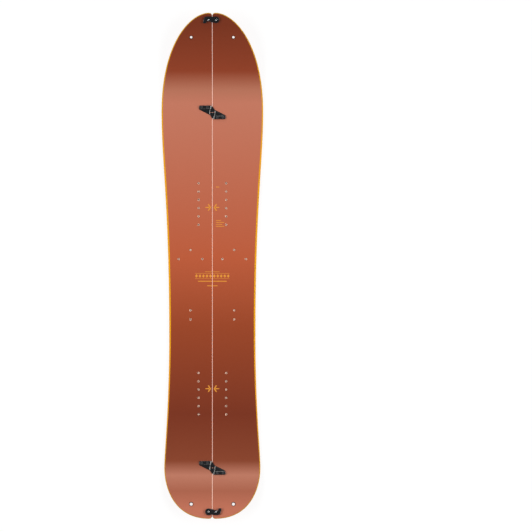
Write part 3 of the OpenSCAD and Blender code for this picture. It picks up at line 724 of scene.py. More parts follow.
# Turned stainless steel is bright, and its fine turning marks spread its reflections
stainless, tree, shader, place = new_material("turned_stainless")
turning_mm = 0.6
turning = add(tree, "TexNoise", {0: place, "Scale": 1 / (turning_mm * MM), "Detail": 2.0})
sheen = add(tree, "MapRange", {0: turning.outputs[0], **noise_range, 3: 0.25, 4: 0.42})
tree.links.new(sheen.outputs[0], shader.inputs["Roughness"])
shader.inputs["Base Color"].default_value = colour("#dfe0e2")
shader.inputs["Metallic"].default_value = 1.0

plate_len, plate_half_w, bar_w = 40.5, 21.0, 10.5
plate_screw_in, plate_screw_gap = 7.5, 18.0
screw_y = plate_half_w - bar_w / 2
screw_xs = (plate_len - plate_screw_in - plate_screw_gap, plate_len - plate_screw_in)
socket_r = 4.05
pair_ys = {"front": half_len - 304.0, "rear": -half_len + 155.0}
pair_slopes = {
    pair: np.arctan2(top_z(y + plate_half_w) - top_z(y - plate_half_w), 2 * plate_half_w)
    for pair, y in pair_ys.items()
}
for half in HALVES:
    frame["nodes"][half + "_hook_sockets"].data.materials.clear()
    frame["nodes"][half + "_hook_sockets"].data.materials.append(stainless)

# Topsheet
# A nylon film printed from behind with tones that fade into each other: a dark nose, rust in the middle
# and dark brown behind it. Its pale front and pale tail, and the pale bands where the tips bend, are partly
# the print's lighter tones and partly painted sheen. It is pressed on with the laminate and drilled for
# everything that shows.

# Film pressed against release cloth is satin, with a faint waviness in its reflections, and the
# print under it is deep and even
printed_nylon, tree, shader, place = new_material("printed_nylon_film")
# The ramp is partly print and partly painted sheen: its pale stops at the front, at the bends and at the
# tail stand in for reflections
top_print_and_sheen_stops = [
    (-745, "#c57359"), (-690, "#af644b"), (-642, "#c17b63"), (-598, "#8c4226"), (-454, "#7d3116"),
    (-184, "#9e4420"), (24, "#c05b36"), (500, "#c77960"), (540, "#ba7359"), (597, "#933e20"),
    (740, "#7b3115"),
]
film_mm = 3.2
film = add(tree, "TexNoise", {0: place, "Scale": 1 / (film_mm * MM), "Detail": 4.0, "Roughness": 0.6})
tinted = fade(tree, place, top_print_and_sheen_stops, film.outputs[0], 0.985, 1.015)
tree.links.new(tinted, shader.inputs["Base Color"])
gloss = add(tree, "MapRange", {0: film.outputs[0], **noise_range, 3: 0.3, 4: 0.4})
tree.links.new(gloss.outputs[0], shader.inputs["Roughness"])
relief = add(tree, "Bump", {"Height": film.outputs[0], "Strength": 0.12, "Distance": 0.05 * MM})
tree.links.new(relief.outputs[0], shader.inputs["Normal"])
shader.inputs["IOR"].default_value = 1.5

top_rim = rim_at(outline()[0][:, 1:])
top_low, top_high = (edge_h + skin_t - topsheet_t, 1), (edge_h + skin_t, 1)
socket_drill = turned([(socket_r + fit, -deep, 0), (socket_r + fit, deep / 2, 0)])
for half, side in HALVES.items():
    mirror = [side, 1, 1]
    top = make_piece(
        half + "_printed_topsheet", [sheet(top_rim, seam_rim_w, top_low, top_high) * mirror], printed_nylon
    )
    drills = tip_holes(bolt_r)
    for places in insert_places.values():
        drills += [hole(mouth_rim_r + mouth_gap, x, y) for x, y in places]
    for pair, y in pair_ys.items():
        for x in screw_xs:
            drills.append(on_top(socket_drill + [x, -side * screw_y, 0], 0, y, pair_slopes[pair]))
    carve(top, [d * mirror for d in drills])
    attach(top, half + "_half")
    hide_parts(half + "_topsheet")

# Printed marks
# Screen-printed ink on the topsheet: a reference mark in the middle of each set of inserts, a band of
# lozenges between rules in the middle of the board, and a few ticks. The seam splits them.

# Screen ink dries to a full, slightly uneven colour, a little duller than the film round it
screen_ink, tree, shader, _ = mottled("screen_print_ink", 1.5, 3.0, "#e28c28", "#f4a63e")
shader.inputs["Roughness"].default_value = 0.4

ink_t, ink_root = 0.08, 0.1
ink_off = seam_x + seam_rim_w + 0.4


def ink(points):
    """A flat printed shape: its corners, carried from just inside the topsheet to the ink's face."""
    plan = np.array(points, float)
    rows = [np.column_stack([plan, np.full(len(plan), h)]) for h in (-ink_root, ink_t)]
    return np.stack(rows) + [0, 0, top_z(0.0)]


def ink_bar(x0, x1, y, width):
    """A printed bar across the board, from one x to another."""
    return ink([(x0, y - width / 2), (x1, y - width / 2), (x1, y + width / 2), (x0, y + width / 2)])


def ink_lozenge(x, y, wide, high):
    """A printed lozenge, with its corners half its width and half its height from its middle."""
    return ink([(x - wide / 2, y), (x, y - high / 2), (x + wide / 2, y), (x, y + high / 2)])


stance_marks = (179.5, -376.7)
head_tip, head_back, head_rise, head_stroke = 4.2, 10.6, 10.0, 3.4
shaft_from, shaft_reach, shaft_half = 8.4, 21.5, 2.0
head_lap = 0.6
band_y, band_reach, band_lozenges = -31.0, 53.0, 5
lozenge_w, lozenge_h = 8.6, 11.0
# Rules and ticks, as their y, how far out they reach, and their width
rules = [
    (-18.0, 22.0, 1.4), (-23.0, 53.0, 0.9), (-39.0, 53.0, 0.9), (-47.0, 44.0, 2.6), (-61.0, 16.0, 2.2),
]
tick_from = 11.0
ticks = [
    (242.0, 21.0, 2.4), (139.5, 26.0, 1.7), (133.5, 36.0, 1.7), (127.5, 31.0, 1.7), (121.5, 36.0, 1.7),
]
for half, side in HALVES.items():
    shapes = []
    for y in stance_marks:
        shapes.append(ink([
            (head_tip, y), (head_back, y - head_rise), (head_back + head_stroke, y - head_rise),
            (shaft_from + head_lap, y),
            (head_back + head_stroke, y + head_rise), (head_back, y + head_rise),
        ]))
        shapes.append(ink([
            (shaft_from, y - shaft_half), (shaft_reach, y - shaft_half / 2),
            (shaft_reach, y + shaft_half / 2), (shaft_from, y + shaft_half),
        ]))
    for y, reach, width in rules:
        shapes.append(ink_bar(ink_off, reach, y, width))
    for x in np.linspace(ink_off + lozenge_w / 2, band_reach - lozenge_w / 2, band_lozenges):
        shapes.append(ink_lozenge(x, band_y, lozenge_w, lozenge_h))
    if half == "right":
        shapes += [ink_bar(tick_from, reach, y, width) for y, reach, width in ticks]
    marks = make_piece(half + "_printed_marks", [shape * [side, 1, 1] for shape in shapes], screen_ink)
    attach(marks, half + "_half")

# Skin grommets
# Turned aluminium grommets line the holes near the tips, where the climbing skins hook on. They are
# bronze anodised, have a rounded rim, and are pressed in from above.

# Bronze anodising keeps the metal's shine under a dark brown, a little uneven along the turning marks
bronze_anodised, tree, shader, turning = mottled(
    "bronze_anodised_aluminium", 0.6, 3.0, "#4a2a1c", "#5f3826"
)
sheen = add(tree, "MapRange", {0: turning.outputs[0], **noise_range, 3: 0.3, 4: 0.45})
tree.links.new(sheen.outputs[0], shader.inputs["Roughness"])
shader.inputs["Metallic"].default_value = 1.0

grommet_rim_w, grommet_rim_h, grommet_flare = 1.2, 0.8, 0.5
lip_low, lip_under = 0.1, 0.15
sink = 0.1
tip_t = edge_h + core_tip_t + skin_t
roll = np.radians(np.linspace(0, 180, 13))
for half, side in HALVES.items():
    rings = []
    for end, slope in ENDS.items():
        depth = (tip_t - base_t) * np.cos(slope) - 2 * sink
        skin_r = skin_rs[end]
        barrel = skin_r + grommet_wall
        rim_r = barrel + grommet_rim_w
        mouth = skin_r + grommet_flare
        middle, reach = (mouth + rim_r) / 2, (rim_r - mouth) / 2
        lip = [
            (middle + reach * np.cos(a), lip_low + (grommet_rim_h - lip_low) * np.sin(a), 0) for a in roll
        ]
        # The bore widens with the square of the height from its middle
        waist = [
            (skin_r + grommet_flare * h ** 2, (h - 1) * depth / 2, 0) for h in np.linspace(0.8, -1, 10)
        ]
        profile = [(barrel, -depth, 0), (barrel, 0.0, 0), (rim_r - lip_under, 0.0, 0), *lip, *waist]
        rings.append(on_top(turned(profile), side * skin_x, skin_ys[end], slope))
    grommets = make_piece(half + "_turned_grommets", rings, bronze_anodised, wrap=True, crease=50)
    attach(grommets, half + "_half")
    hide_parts(half + "_skin_grommets")

# Tip bolts
# Flat-headed steel bolts come up through the tips from the base, one for each post. They are black
# oxide finished, and their heads sit just below the base.

# Black oxide with oil in it is nearly black, with a soft shine that scuffs vary
black_oxide, tree, shader, scuff = mottled("black_oxide_steel", 0.9, 4.0, "#101012", "#252527")
sheen = add(tree, "MapRange", {0: scuff.outputs[0], **noise_range, 3: 0.32, 4: 0.5})
tree.links.new(sheen.outputs[0], shader.inputs["Roughness"])
shader.inputs["Metallic"].default_value = 0.6

hook_lift, hook_t, hook_play = 2.5, 3.5, 0.15
head_h = 1.8
hook_low = hook_lift + hook_play
hook_high = hook_low + hook_t
shank_top = hook_high + hook_play
key_r, key_deep = 1.6, 0.8
bolt_bevel, head_bevel_h, key_bevel = 0.3, 0.25, 0.15
TIPS = {"nose": 1, "tail": -1}


def at_hook(points, tip, x=0.0):
    """Sets a shape on a tip, in the hook's own frame, which is turned half round at the tail."""
    end = TIPS[tip]
    turn = 0.0 if end > 0 else np.pi
    return on_top(points + [x, 0, 0], 0, end * (half_len - hook_in), ENDS[end], turn)


def tip_bolt(tip, top):
    """Profile of a tip bolt from the floor of its hexagon socket, round the head and up its shank."""
    bottom = sink - tip_t * np.cos(ENDS[TIPS[tip]])
    head_top = (base_t - tip_t) * np.cos(ENDS[TIPS[tip]])
    return [
        (0, bottom + key_deep, 0), (key_r, bottom + key_deep, 1), (key_r, bottom + key_bevel, 1),
        (key_r + bolt_bevel, bottom, 0), (bolt_head_r - bolt_bevel, bottom, 0),
        (bolt_head_r, bottom + head_bevel_h, 0), (bolt_head_r, head_top, 0), (bolt_r, head_top, 0),
        (bolt_r, top - bolt_bevel, 0), (bolt_r - bolt_bevel, top, 0), (0, top, 0),
    ]


bolts = (("_pivot_bolt", post_gap / 2, shank_top + head_h), ("_catch_bolt", -post_gap / 2, hook_high))
for tip in TIPS:
    for node, x, top in bolts:
        shape = at_hook(turned(tip_bolt(tip, top)), tip, x)
        bolt = make_piece(tip + node + "_turned", [shape], black_oxide)
        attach(bolt, frame["nodes"][tip + node]["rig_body"])
        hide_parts(tip + node)

# Pivots and catch posts
# A stepped bush of turned stainless steel carries each hook. Its claw catches a grooved post of black
# oxide steel on the other half, which ends in a bright oval. Bolts from the base hold both.


def arc(middle, radii, turn_from, turn_to, steps):
    """Points on an ellipse's arc about a middle, between two angles in degrees."""
    angle = np.radians(np.linspace(turn_from, turn_to, steps))
    return np.stack([np.cos(angle), np.sin(angle)], -1) * radii + middle


def drawn_in(shape, distance):
    """An outline moved inwards by a distance.

    Each corner moves along the sum of its two sides' inward normals, over one plus their product.
    """
    sides = np.roll(shape, -1, 0) - shape
    normals = np.stack([-sides[:, 1], sides[:, 0]], -1) / np.linalg.norm(sides, axis=1, keepdims=True)
    before = np.roll(normals, 1, 0)
    share = 1 + np.sum(normals * before, 1, keepdims=True)
    return shape + distance * (normals + before) / share


def slab(rows):
    """A plate with eased edges: rows of (outline, distance drawn in, height), from its foot to its top."""
    levels = [(drawn_in(shape, distance), np.full(len(shape), height)) for shape, distance, height in rows]
    return np.stack([np.column_stack(pair) for pair in levels])


pivot_r, pivot_foot_r = 4.0, 7.5
neck_r, catch_r, catch_play = 3.5, 5.5, 0.4
foot_bevel, step_bevel, post_bevel, neck_round = 0.2, 0.3, 0.25, 0.2
oval_rise, end_slope_w, end_slope_h = 0.8, 1.0, 0.15
neck_low = hook_low - catch_play
neck_top = hook_high + catch_play
post_top = neck_top + head_h
end_z = post_top - oval_rise
bore = bolt_r + fit
bush_profile = [
    (bore, 0, 0), (pivot_foot_r - foot_bevel, 0, 0), (pivot_foot_r, foot_bevel, 0),
    (pivot_foot_r, hook_lift - step_bevel, 0), (pivot_foot_r - step_bevel, hook_lift, 0),
    (pivot_r, hook_lift, 0), (pivot_r, shank_top, 0), (bore, shank_top, 0),
]
post_profile = [
    (0, hook_high + fit, 0), (bore, hook_high + fit, 0), (bore, 0, 0),
    (catch_r - foot_bevel, 0, 0), (catch_r, foot_bevel, 0),
    (catch_r, neck_low - post_bevel, 0), (catch_r - post_bevel, neck_low, 0),
    (neck_r + neck_round, neck_low, 0), (neck_r, neck_low + neck_round, 0), (neck_r, neck_top, 0),
    (catch_r - post_bevel, neck_top, 0), (catch_r, neck_top + post_bevel, 0),
    (catch_r, end_z - end_slope_h - post_bevel, 0), (catch_r - post_bevel, end_z - end_slope_h, 0),
    (catch_r - end_slope_w, end_z, 0), (0, end_z, 0),
]
oval_len, oval_w, oval_turn = 7.4, 4.2, np.radians(52)
oval = np.vstack([
    arc(((oval_len - oval_w) / 2, 0), oval_w / 2, -90, 90, 15),
    arc(((oval_w - oval_len) / 2, 0), oval_w / 2, 90, 270, 15),
])
c, s = np.cos(oval_turn), np.sin(oval_turn)
oval = oval @ np.array([[c, s], [-s, c]])
# The oval's edge is rounded: how far each level is drawn in, and how far below the top it lies
oval_ease = ((0.0, 1.0), (0.0, 0.5), (0.15, 0.25), (0.5, 0.07), (1.1, 0.0))
oval_rows = [(oval, inset, post_top - below) for inset, below in oval_ease]
for tip in TIPS:
    shape = at_hook(turned(bush_profile, 64), tip, post_gap / 2)
    bush = make_piece(tip + "_turned_bush", [shape], stainless, wrap=True)
    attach(bush, frame["nodes"][tip + "_pivot_bush"]["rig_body"])
    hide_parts(tip + "_pivot_bush")
    shape = at_hook(turned(post_profile, 60), tip, -post_gap / 2)
    post = make_piece(tip + "_turned_post", [shape], black_oxide)
    oval_end = make_piece(tip + "_post_end", [at_hook(slab(oval_rows), tip, -post_gap / 2)], stainless)
    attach(oval_end, frame["nodes"][tip + "_catch_post"]["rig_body"])
    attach(post, frame["nodes"][tip + "_catch_post"]["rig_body"])
    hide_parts(tip + "_catch_post")

# Tip hooks
# A flat hook at each tip, milled from aluminium plate and black anodised. It turns on its bush, and
# its claw holds the catch post on the other half.

# Black anodising is a dyed glassy layer: nearly black, with a fine blasted grain and a clear shine.
# The grain is drawn larger than it is, so that it shows.
black_anodised, tree, shader, blast = mottled("black_anodised_aluminium", 0.5, 4.0, "#0e0f12", "#222428")
blast.inputs["Roughness"].default_value = 0.65
sheen = add(tree, "MapRange", {0: blast.outputs[0], **noise_range, 3: 0.2, 4: 0.32})
tree.links.new(sheen.outputs[0], shader.inputs["Roughness"])
relief = add(tree, "Bump", {"Height": blast.outputs[0], "Strength": 0.15, "Distance": 0.04 * MM})
tree.links.new(relief.outputs[0], shader.inputs["Normal"])
shader.inputs["IOR"].default_value = 1.55

boss_r, arm_rise, claw_w, claw_reach = 10.5, 10.5, 9.0, 4.0
claw_lean, claw_blunt = 1.3, 2.4
heel_high, heel_low, heel_in = 0.8, 0.9, 0.3
lip_in, lip_drop, lip_round = 0.8, 7.0, 1.3
# Where the boss's arc, the claw's back and the lip start and end, in degrees
boss_turns, back_turns, lip_turns = (-119.7, 122.0), (90, 170), (178, 261)
turn_per_mm = np.radians(5)
mouth_r = neck_r + 0.65


def flank(drawn):
    """The claw's inner flank: the catch post's path as the halves are drawn apart, set off by the mouth.

    The path is a spiral about the pivot. Its radius is the posts' gap plus the distance drawn, and
    its angle grows with that distance.
    """
    angle = turn_per_mm * drawn
    radius = (post_gap + drawn)[:, None]
    spoke = np.stack([-np.cos(angle), -np.sin(angle)], -1)
    way = spoke + radius * turn_per_mm * np.stack([np.sin(angle), -np.cos(angle)], -1)
    off = np.stack([way[:, 1], -way[:, 0]], -1) / np.linalg.norm(way, axis=1, keepdims=True)
    return radius * spoke + mouth_r * off


claw_flank = flank(np.linspace(claw_reach, 0, 13))
claw_tip = claw_flank[0]
mouth_turn = np.degrees(np.arctan2(claw_flank[-1, 1], claw_flank[-1, 0] + post_gap))
hook_outline = np.vstack([
    arc((0, 0), boss_r, *boss_turns, 56),
    arc((-post_gap, arm_rise - mouth_r), (mouth_r + claw_w, mouth_r), *back_turns, 20),
    claw_tip + [
        (-claw_w - claw_lean, heel_high), (-claw_w - claw_lean + heel_in, -heel_low),
        (claw_lean - claw_w, -claw_blunt), (-claw_lean, -claw_blunt / 2),
    ],
    claw_flank[:-1],
    arc((-post_gap, 0), mouth_r, mouth_turn, 0, 24),
    arc((-post_gap + mouth_r + lip_in + lip_round, lip_round - lip_drop), lip_round, *lip_turns, 8),
])
# The hook's edges are eased: how far each level is drawn in, and its height
hook_ease = (
    (0.3, hook_low), (0.0, hook_low + 0.3),
    (0.0, hook_high - 0.7), (0.2, hook_high - 0.25), (0.75, hook_high),
)
hook_rows = [(hook_outline, inset, height) for inset, height in hook_ease]
hook_bore = turned([(pivot_r + fit, -deep, 0), (pivot_r + fit, deep, 0)], 64)
for tip in TIPS:
    hook = make_piece(
        tip + "_milled_hook", [at_hook(slab(hook_rows), tip, post_gap / 2)], black_anodised, crease=28
    )
    carve(hook, [at_hook(hook_bore, tip, post_gap / 2)])
    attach(hook, tip + "_hook")
    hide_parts(tip + "_hook")

# Cap nuts
# A washer and a hexagon nut, both black oxide steel, close each pivot bolt, with a bright dome in the
# nut's end. The nut is tightened on the bush, so that the hook under it stays free to turn.

cap_r, cap_bevel = 6.5, 1.2
washer_t, washer_ease, washer_ease_h = 0.9, 0.5, 0.35
nut_r, nut_below, nut_round = 3.9, 0.5, 0.4
nut_bevel, nut_bevel_h = 0.2, 0.15
cap_top = shank_top + head_h + cap_bevel
nut_low, nut_top = shank_top + washer_t, cap_top - nut_below
washer_profile = [
    (bore, shank_top, 0), (cap_r - foot_bevel, shank_top, 0), (cap_r, shank_top + foot_bevel, 0),
    (cap_r, nut_low - washer_ease_h, 0), (cap_r - washer_ease, nut_low, 0), (bore, nut_low, 0),
]
dome_r, dome_ease, dome_deep = 2.7, 0.1, 0.4
# The nut's upper end is rounded off from the hexagon to a circle
nut_profile = [
    (dome_r, nut_low, 0), (nut_r - nut_bevel, nut_low, 1), (nut_r, nut_low + nut_bevel_h, 1),
    (nut_r, nut_top - nut_round, 1), (nut_r - 0.1, nut_top - 0.15, 0.6), (nut_r - nut_round, nut_top, 0),
    (dome_r, nut_top, 0),
]
dome_low = shank_top + head_h + fit
dome_foot = nut_top - dome_deep
rise = np.radians(np.linspace(0, 90, 10))
dome_profile = [
    (0, dome_low, 0), (dome_r - fit, dome_low, 0), (dome_r - fit, dome_foot - dome_ease, 0),
    *[((dome_r - dome_ease) * np.cos(a), dome_foot + (cap_top - dome_foot) * np.sin(a), 0) for a in rise],
]
for tip in TIPS:
    body = frame["nodes"][tip + "_pivot_nut"]["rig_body"]
    shape = at_hook(turned(washer_profile, 60), tip, post_gap / 2)
    washer = make_piece(tip + "_pivot_washer", [shape], black_oxide, wrap=True)
    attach(washer, body)
    shape = at_hook(turned(dome_profile, 60), tip, post_gap / 2)
    dome_end = make_piece(tip + "_nut_dome", [shape], stainless)
    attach(dome_end, body)
    shape = at_hook(turned(nut_profile, 60), tip, post_gap / 2)
    nut = make_piece(tip + "_cap_nut", [shape], black_oxide, wrap=True)
    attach(nut, body)
    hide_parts(tip + "_pivot_nut")

# Hook plates
# Two pairs of black anodised aluminium plates lock the halves where the tips start to rise. Each has
# a raised bar, a flange, and a tongue that reaches over the other half. The slanted edges and the
# bar's long edge are milled bright after anodising, and their bright finish is partly a painted highlight
# along those edges.

# Milling cuts through the anodising to bare aluminium: a grey shine, streaked by the cutter's passes.
# On the plates' edges this finish is partly a painted highlight.
bare_aluminium_and_highlight, tree, shader, place = new_material("milled_aluminium_and_highlight")
pass_w, pass_len = 0.8, 5.0
passes = streaks(tree, place, (pass_w, pass_len, pass_w), Detail=3.0)
sheen = add(tree, "MapRange", {0: passes, **noise_range, 3: 0.34, 4: 0.5})
tree.links.new(sheen.outputs[0], shader.inputs["Roughness"])
shader.inputs["Base Color"].default_value = colour("#9c9c99")
shader.inputs["Metallic"].default_value = 1.0

plate_t, bar_rise = 3.0, 1.5
tongue_lift, tongue_top, tongue_gap = 0.9, 2.3, 1.5
tongue_end_gap, tongue_cut_in, tongue_short = 0.7, 0.8, 0.5
plate_inner_top, plate_inner_low, flange_low = 2.5, 8.5, 7.5
plate_corner, mill = 3.0, 2.2
plate_top = plate_t + bar_rise
bar_low = plate_half_w - bar_w
slant = (plate_inner_low - plate_inner_top) / (plate_half_w + flange_low)


def plate_corner_arc(y, turn_from, turn_to):
    """An outer corner of a plate: the arc about (its middle's x, y) between two angles in degrees."""
    return arc((-plate_len + plate_corner, y), plate_corner, turn_from, turn_to, 9)


def plate_outline(back, ease=0.0):
    """The plate's outline, with its slanted inner edge set back and its flange's long edge drawn in.

    The flange's inner corner slides up both edges: its rise is where the two moved lines cross.
    """
    run = (bar_low + flange_low) / (plate_len - plate_inner_low)
    lift = ease * np.hypot(1, run)
    rise = (lift + back * run) / (1 + slant * run)
    return np.vstack([
        [(-plate_inner_top - back, plate_half_w)],
        plate_corner_arc(plate_half_w - plate_corner, 90, 180),
        plate_corner_arc(bar_low + lift, 180, 240),
        [(-plate_inner_low - back + slant * rise, -flange_low + rise)],
    ])


def bar_outline(back):
    """The raised bar's outline, with its slanted inner end set back by a distance."""
    return np.vstack([
        [(-plate_inner_top - back, plate_half_w)],
        plate_corner_arc(plate_half_w - plate_corner, 90, 180),
        plate_corner_arc(bar_low + plate_corner, 180, 270),
        [(-plate_inner_top - slant * bar_w - back, bar_low)],
    ])


tongue_low, tongue_high = tongue_gap / 2, plate_half_w - plate_corner
tongue_root = -plate_inner_low - mill - 1
tongue_knee = flange_low - tongue_short
tongue_ends = np.array([tongue_low, tongue_knee])
tongue_ends = plate_inner_top + slant * (plate_half_w + tongue_ends) - tongue_end_gap
tongue_outline = np.array([
    (tongue_root, tongue_low), (tongue_ends[0], tongue_low), (tongue_ends[1], tongue_knee),
    (tongue_cut_in, tongue_high), (tongue_root, tongue_high),
])
screw_r, screw_head_r = 2.5, 4.2
screw_head_h = screw_head_r - screw_r
countersink = [
    (screw_r + fit, -deep, 0), (screw_r + fit, plate_top - screw_head_h, 0),
    (screw_head_r + fit + sink, plate_top + sink, 0), (screw_head_r + fit + sink, deep, 0),
]


def at_plates(points, pair, side):
    """Sets a shape on a pair of plates, in a plate's own frame, which is turned half round on the right."""
    return on_top(points, 0, pair_ys[pair], pair_slopes[pair], np.pi if side > 0 else 0.0)


# Each shape's levels, from its foot to its top: its outline, how far it is drawn in, and its height
body_rows = [
    (plate_outline(0), 0, 0.0), (plate_outline(0), 0, 0.9), (plate_outline(0, 2.1), 0, 2.05),
    (plate_outline(mill, 3.3), 0, 2.7), (plate_outline(mill, 3.7), 0.2, plate_t),
]
bar_rows = [
    (bar_outline(0), 0.3, 1.8), (bar_outline(0), 0, 2.3), (bar_outline(mill), 0, plate_top - 0.45),
    (bar_outline(mill), 0.1, plate_top - 0.4), (bar_outline(mill), 1.0, plate_top),
]
tongue_rows = [
    (tongue_outline, 0.25, tongue_lift), (tongue_outline, 0, tongue_lift + 0.25),
    (tongue_outline, 0, tongue_top - 0.4), (tongue_outline, 0.4, tongue_top),
]
# The faces that are milled bright, partly as a painted highlight, as rows and columns of those levels
slanted_edge_and_highlight, bar_edges_and_highlight = [(2, -1)], [(1, -1), (3, -2)]
for pair in pair_ys:
    for half, side in HALVES.items():
        body = at_plates(slab(body_rows), pair, side)
        body[0, :, 2] = top_z(body[0, :, 1])
        bar = at_plates(slab(bar_rows), pair, side)
        tongue = at_plates(slab(tongue_rows), pair, side)
        plate = make_piece(
            f"{pair}_{half}_milled_plate", [body], black_anodised, bare_aluminium_and_highlight, bright=slanted_edge_and_highlight
        )
        carve(plate, [bar], "UNION", bright=bar_edges_and_highlight)
        carve(plate, [tongue], "UNION")
        carve(plate, [at_plates(turned(countersink) + [-x, screw_y, 0], pair, side) for x in screw_xs])
        clean(plate.data, True)
        smooth(plate)
        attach(plate, half + "_half")
        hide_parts(f"{pair}_{half}_hook_plate")

# Plate screws
# Two countersunk machine screws with hexagon sockets hold each plate. They are a dull grey,
# lighter than the plates, and they screw down into the sockets in the core.

# The screws' steel is a dull, uneven grey
grey_screw_steel, tree, shader, _ = mottled("dull_grey_screw_steel", 0.6, 4.0, "#5c5d60", "#7a7b7e")
shader.inputs["Roughness"].default_value = 0.45
shader.inputs["Metallic"].default_value = 1.0

socket_len, socket_floor, screw_key_deep = 3.4, 0.4, 1.4
screw_bottom = socket_floor + sink - socket_len
screw_top = plate_top - sink
head_edge = screw_head_r - sink
screw_point, head_ease, head_ease_h = 0.5, 0.2, 0.15
screw_profile = [
    (0, screw_bottom, 0), (screw_r - screw_point, screw_bottom, 0),
    (screw_r, screw_bottom + screw_point, 0), (screw_r, plate_top - screw_head_h, 0),
    (head_edge - head_ease / 2, screw_top - head_ease_h, 0), (head_edge - head_ease, screw_top, 0),
    (key_r + key_bevel, screw_top, 0), (key_r, screw_top - key_bevel, 1),
    (key_r, screw_top - screw_key_deep, 1), (0, screw_top - screw_key_deep, 0),
]
for pair in pair_ys:
    for half, side in HALVES.items():
        shapes = [at_plates(turned(screw_profile) + [-x, screw_y, 0], pair, side) for x in screw_xs]
        screws = make_piece(f"{pair}_{half}_socket_screws", shapes, grey_screw_steel)
        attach(screws, half + "_half")
        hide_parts(f"{pair}_{half}_plate_screws")

# Studio
# A white floor that takes the board's shadow, a large soft lamp over each side of the board, a weaker
# one beyond the nose and one under each side for the base, a pale surround for reflections, and a
# camera straight above. Sizes in this section are in metres.

floor_half = 40.0
floor_gap = 0.0005
floor_mesh = bpy.data.meshes.new("floor")
corners = np.array([(-1, -1), (1, -1), (1, 1), (-1, 1)]) * floor_half
floor_mesh.from_pydata(np.hstack([corners, np.full((4, 1), -floor_gap)]), [], [(0, 1, 2, 3)])
floor = bpy.data.objects.new("floor", floor_mesh)
bpy.context.scene.collection.objects.link(floor)

# White paper: it takes the board's shadow nearby, blends into plain white farther out, gives the board
# little light back, and is clear from below, so that the base can be seen and lit
white_floor, tree, shader, place = new_material("white_floor")
tree.nodes.remove(shader)
WHITE = (1.0, 1.0, 1.0, 1.0)
shadow_end, white_from = 0.9, 1.6
paper_shade, paper_glow = 0.16, 0.86
rays = add(tree, "LightPath").outputs
seen = add(tree, "Math", {0: rays["Is Camera Ray"], 1: rays["Is Glossy Ray"]}, operation="MAXIMUM")
seen = add(tree, "Math", {0: seen.outputs[0], 1: rays["Is Transmission Ray"]}, operation="MAXIMUM")
far = add(tree, "VectorMath", {0: place}, operation="LENGTH").outputs["Value"]
backdrop = add(tree, "MapRange", {0: far, 1: shadow_end, 2: white_from}, interpolation_type="SMOOTHSTEP")
lit = add(tree, "BsdfDiffuse", {0: (paper_shade, paper_shade, paper_shade, 1.0)})
lift = add(tree, "Emission", {0: WHITE, 1: paper_glow})
shown = add(tree, "AddShader", {0: lit.outputs[0], 1: lift.outputs[0]})
blank = add(tree, "Emission", {0: WHITE, 1: 1.0})
view = add(tree, "MixShader", {0: backdrop.outputs[0], 1: shown.outputs[0], 2: blank.outputs[0]})
plain = add(tree, "MixShader", {0: seen.outputs[0], 1: lit.outputs[0], 2: view.outputs[0]})
below = add(tree, "NewGeometry").outputs["Backfacing"]
through = add(tree, "Math", {0: below, 1: rays["Is Shadow Ray"]}, operation="MAXIMUM")
clear = add(tree, "BsdfTransparent")
surface = add(tree, "MixShader", {0: through.outputs[0], 1: plain.outputs[0], 2: clear.outputs[0]})
tree.links.new(surface.outputs[0], tree.nodes["Material Output"].inputs["Surface"])
floor_mesh.materials.append(white_floor)


def soft_lamp(name, lean, turn, size, power, far=11.0):
    """A rectangular soft lamp that faces the board and that the camera doesn't see.

    It stands far off, in the direction that leans from straight up towards a turn about Z.
    """
    data = bpy.data.lights.new(name, "AREA")
    data.shape = "RECTANGLE"
    data.size, data.size_y = size
    data.energy = power
    lamp = bpy.data.objects.new(name, data)
    aim = np.array([np.sin(lean) * np.cos(turn), np.sin(lean) * np.sin(turn), np.cos(lean)])
    lamp.location = far * aim
    lamp.rotation_euler = (0.0, lean, turn)
    lamp.visible_camera = False
    bpy.context.scene.collection.objects.link(lamp)


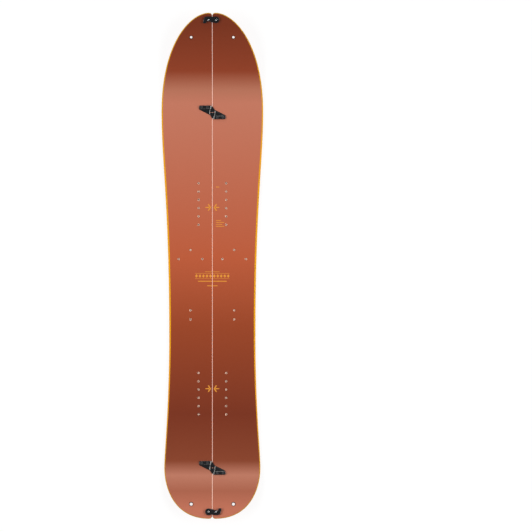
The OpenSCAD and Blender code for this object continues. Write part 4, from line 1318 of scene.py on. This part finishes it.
soft_lamp("right_lamp", np.radians(50), 0.0, (5.0, 8.0), 670.0)
soft_lamp("left_lamp", np.radians(50), np.pi, (5.0, 8.0), 670.0)
soft_lamp("nose_lamp", np.radians(60), np.pi / 2, (4.0, 6.0), 160.0)
soft_lamp("right_under_lamp", np.radians(130), 0.0, (5.0, 8.0), 930.0)
soft_lamp("left_under_lamp", np.radians(130), np.pi, (5.0, 8.0), 930.0)

# The surround is white to the camera, bright at the horizon and dark overhead to reflections, and an
# even weak fill to matt surfaces. The heights where it starts and ends to darken are shares of the way
# straight up.
horizon, overhead, fill = 0.7, 0.08, 0.28
dims_from, dims_to = 0.05, 0.5
world = bpy.data.worlds.new("studio")
bpy.context.scene.world = world
world.use_nodes = True
tree = world.node_tree
rays = add(tree, "LightPath").outputs
up = add(tree, "SeparateXYZ", {0: add(tree, "TexCoord").outputs["Generated"]})
steep = add(tree, "Math", {0: up.outputs["Z"]}, operation="ABSOLUTE")
heights = {1: dims_from, 2: dims_to, 3: horizon, 4: overhead}
ceiling = add(tree, "MapRange", {0: steep.outputs[0], **heights})
gloss = add(tree, "Math", {0: rays["Is Glossy Ray"], 1: ceiling.outputs[0]}, operation="MULTIPLY")
white = add(tree, "Math", {0: rays["Is Camera Ray"], 1: rays["Is Transmission Ray"]}, operation="MAXIMUM")
bright = add(tree, "Math", {0: gloss.outputs[0], 1: white.outputs[0]}, operation="MAXIMUM")
plain = add(tree, "Math", {0: rays["Is Diffuse Ray"], 1: fill}, operation="MULTIPLY")
strength = add(tree, "Math", {0: bright.outputs[0], 1: plain.outputs[0]}, operation="MAXIMUM")
tree.links.new(strength.outputs[0], tree.nodes["Background"].inputs["Strength"])
tree.nodes["Background"].inputs["Color"].default_value = WHITE

# The board stands left of the picture's middle, and frame_w is the width in view at the topsheet
frame_w = 1.6322
camera_x, camera_y = 0.1646, -0.0003
camera_h, sensor = 24.0, 36.0
lens = bpy.data.cameras.new("camera")
lens.sensor_width = sensor
lens.lens = sensor * (camera_h - top_z(0.0) * MM) / frame_w
lens.clip_end = 200.0
camera = bpy.data.objects.new("camera", lens)
camera.location = (camera_x, camera_y, camera_h)
bpy.context.scene.collection.objects.link(camera)
bpy.context.scene.camera = camera
bpy.context.scene.view_settings.view_transform = "Standard"
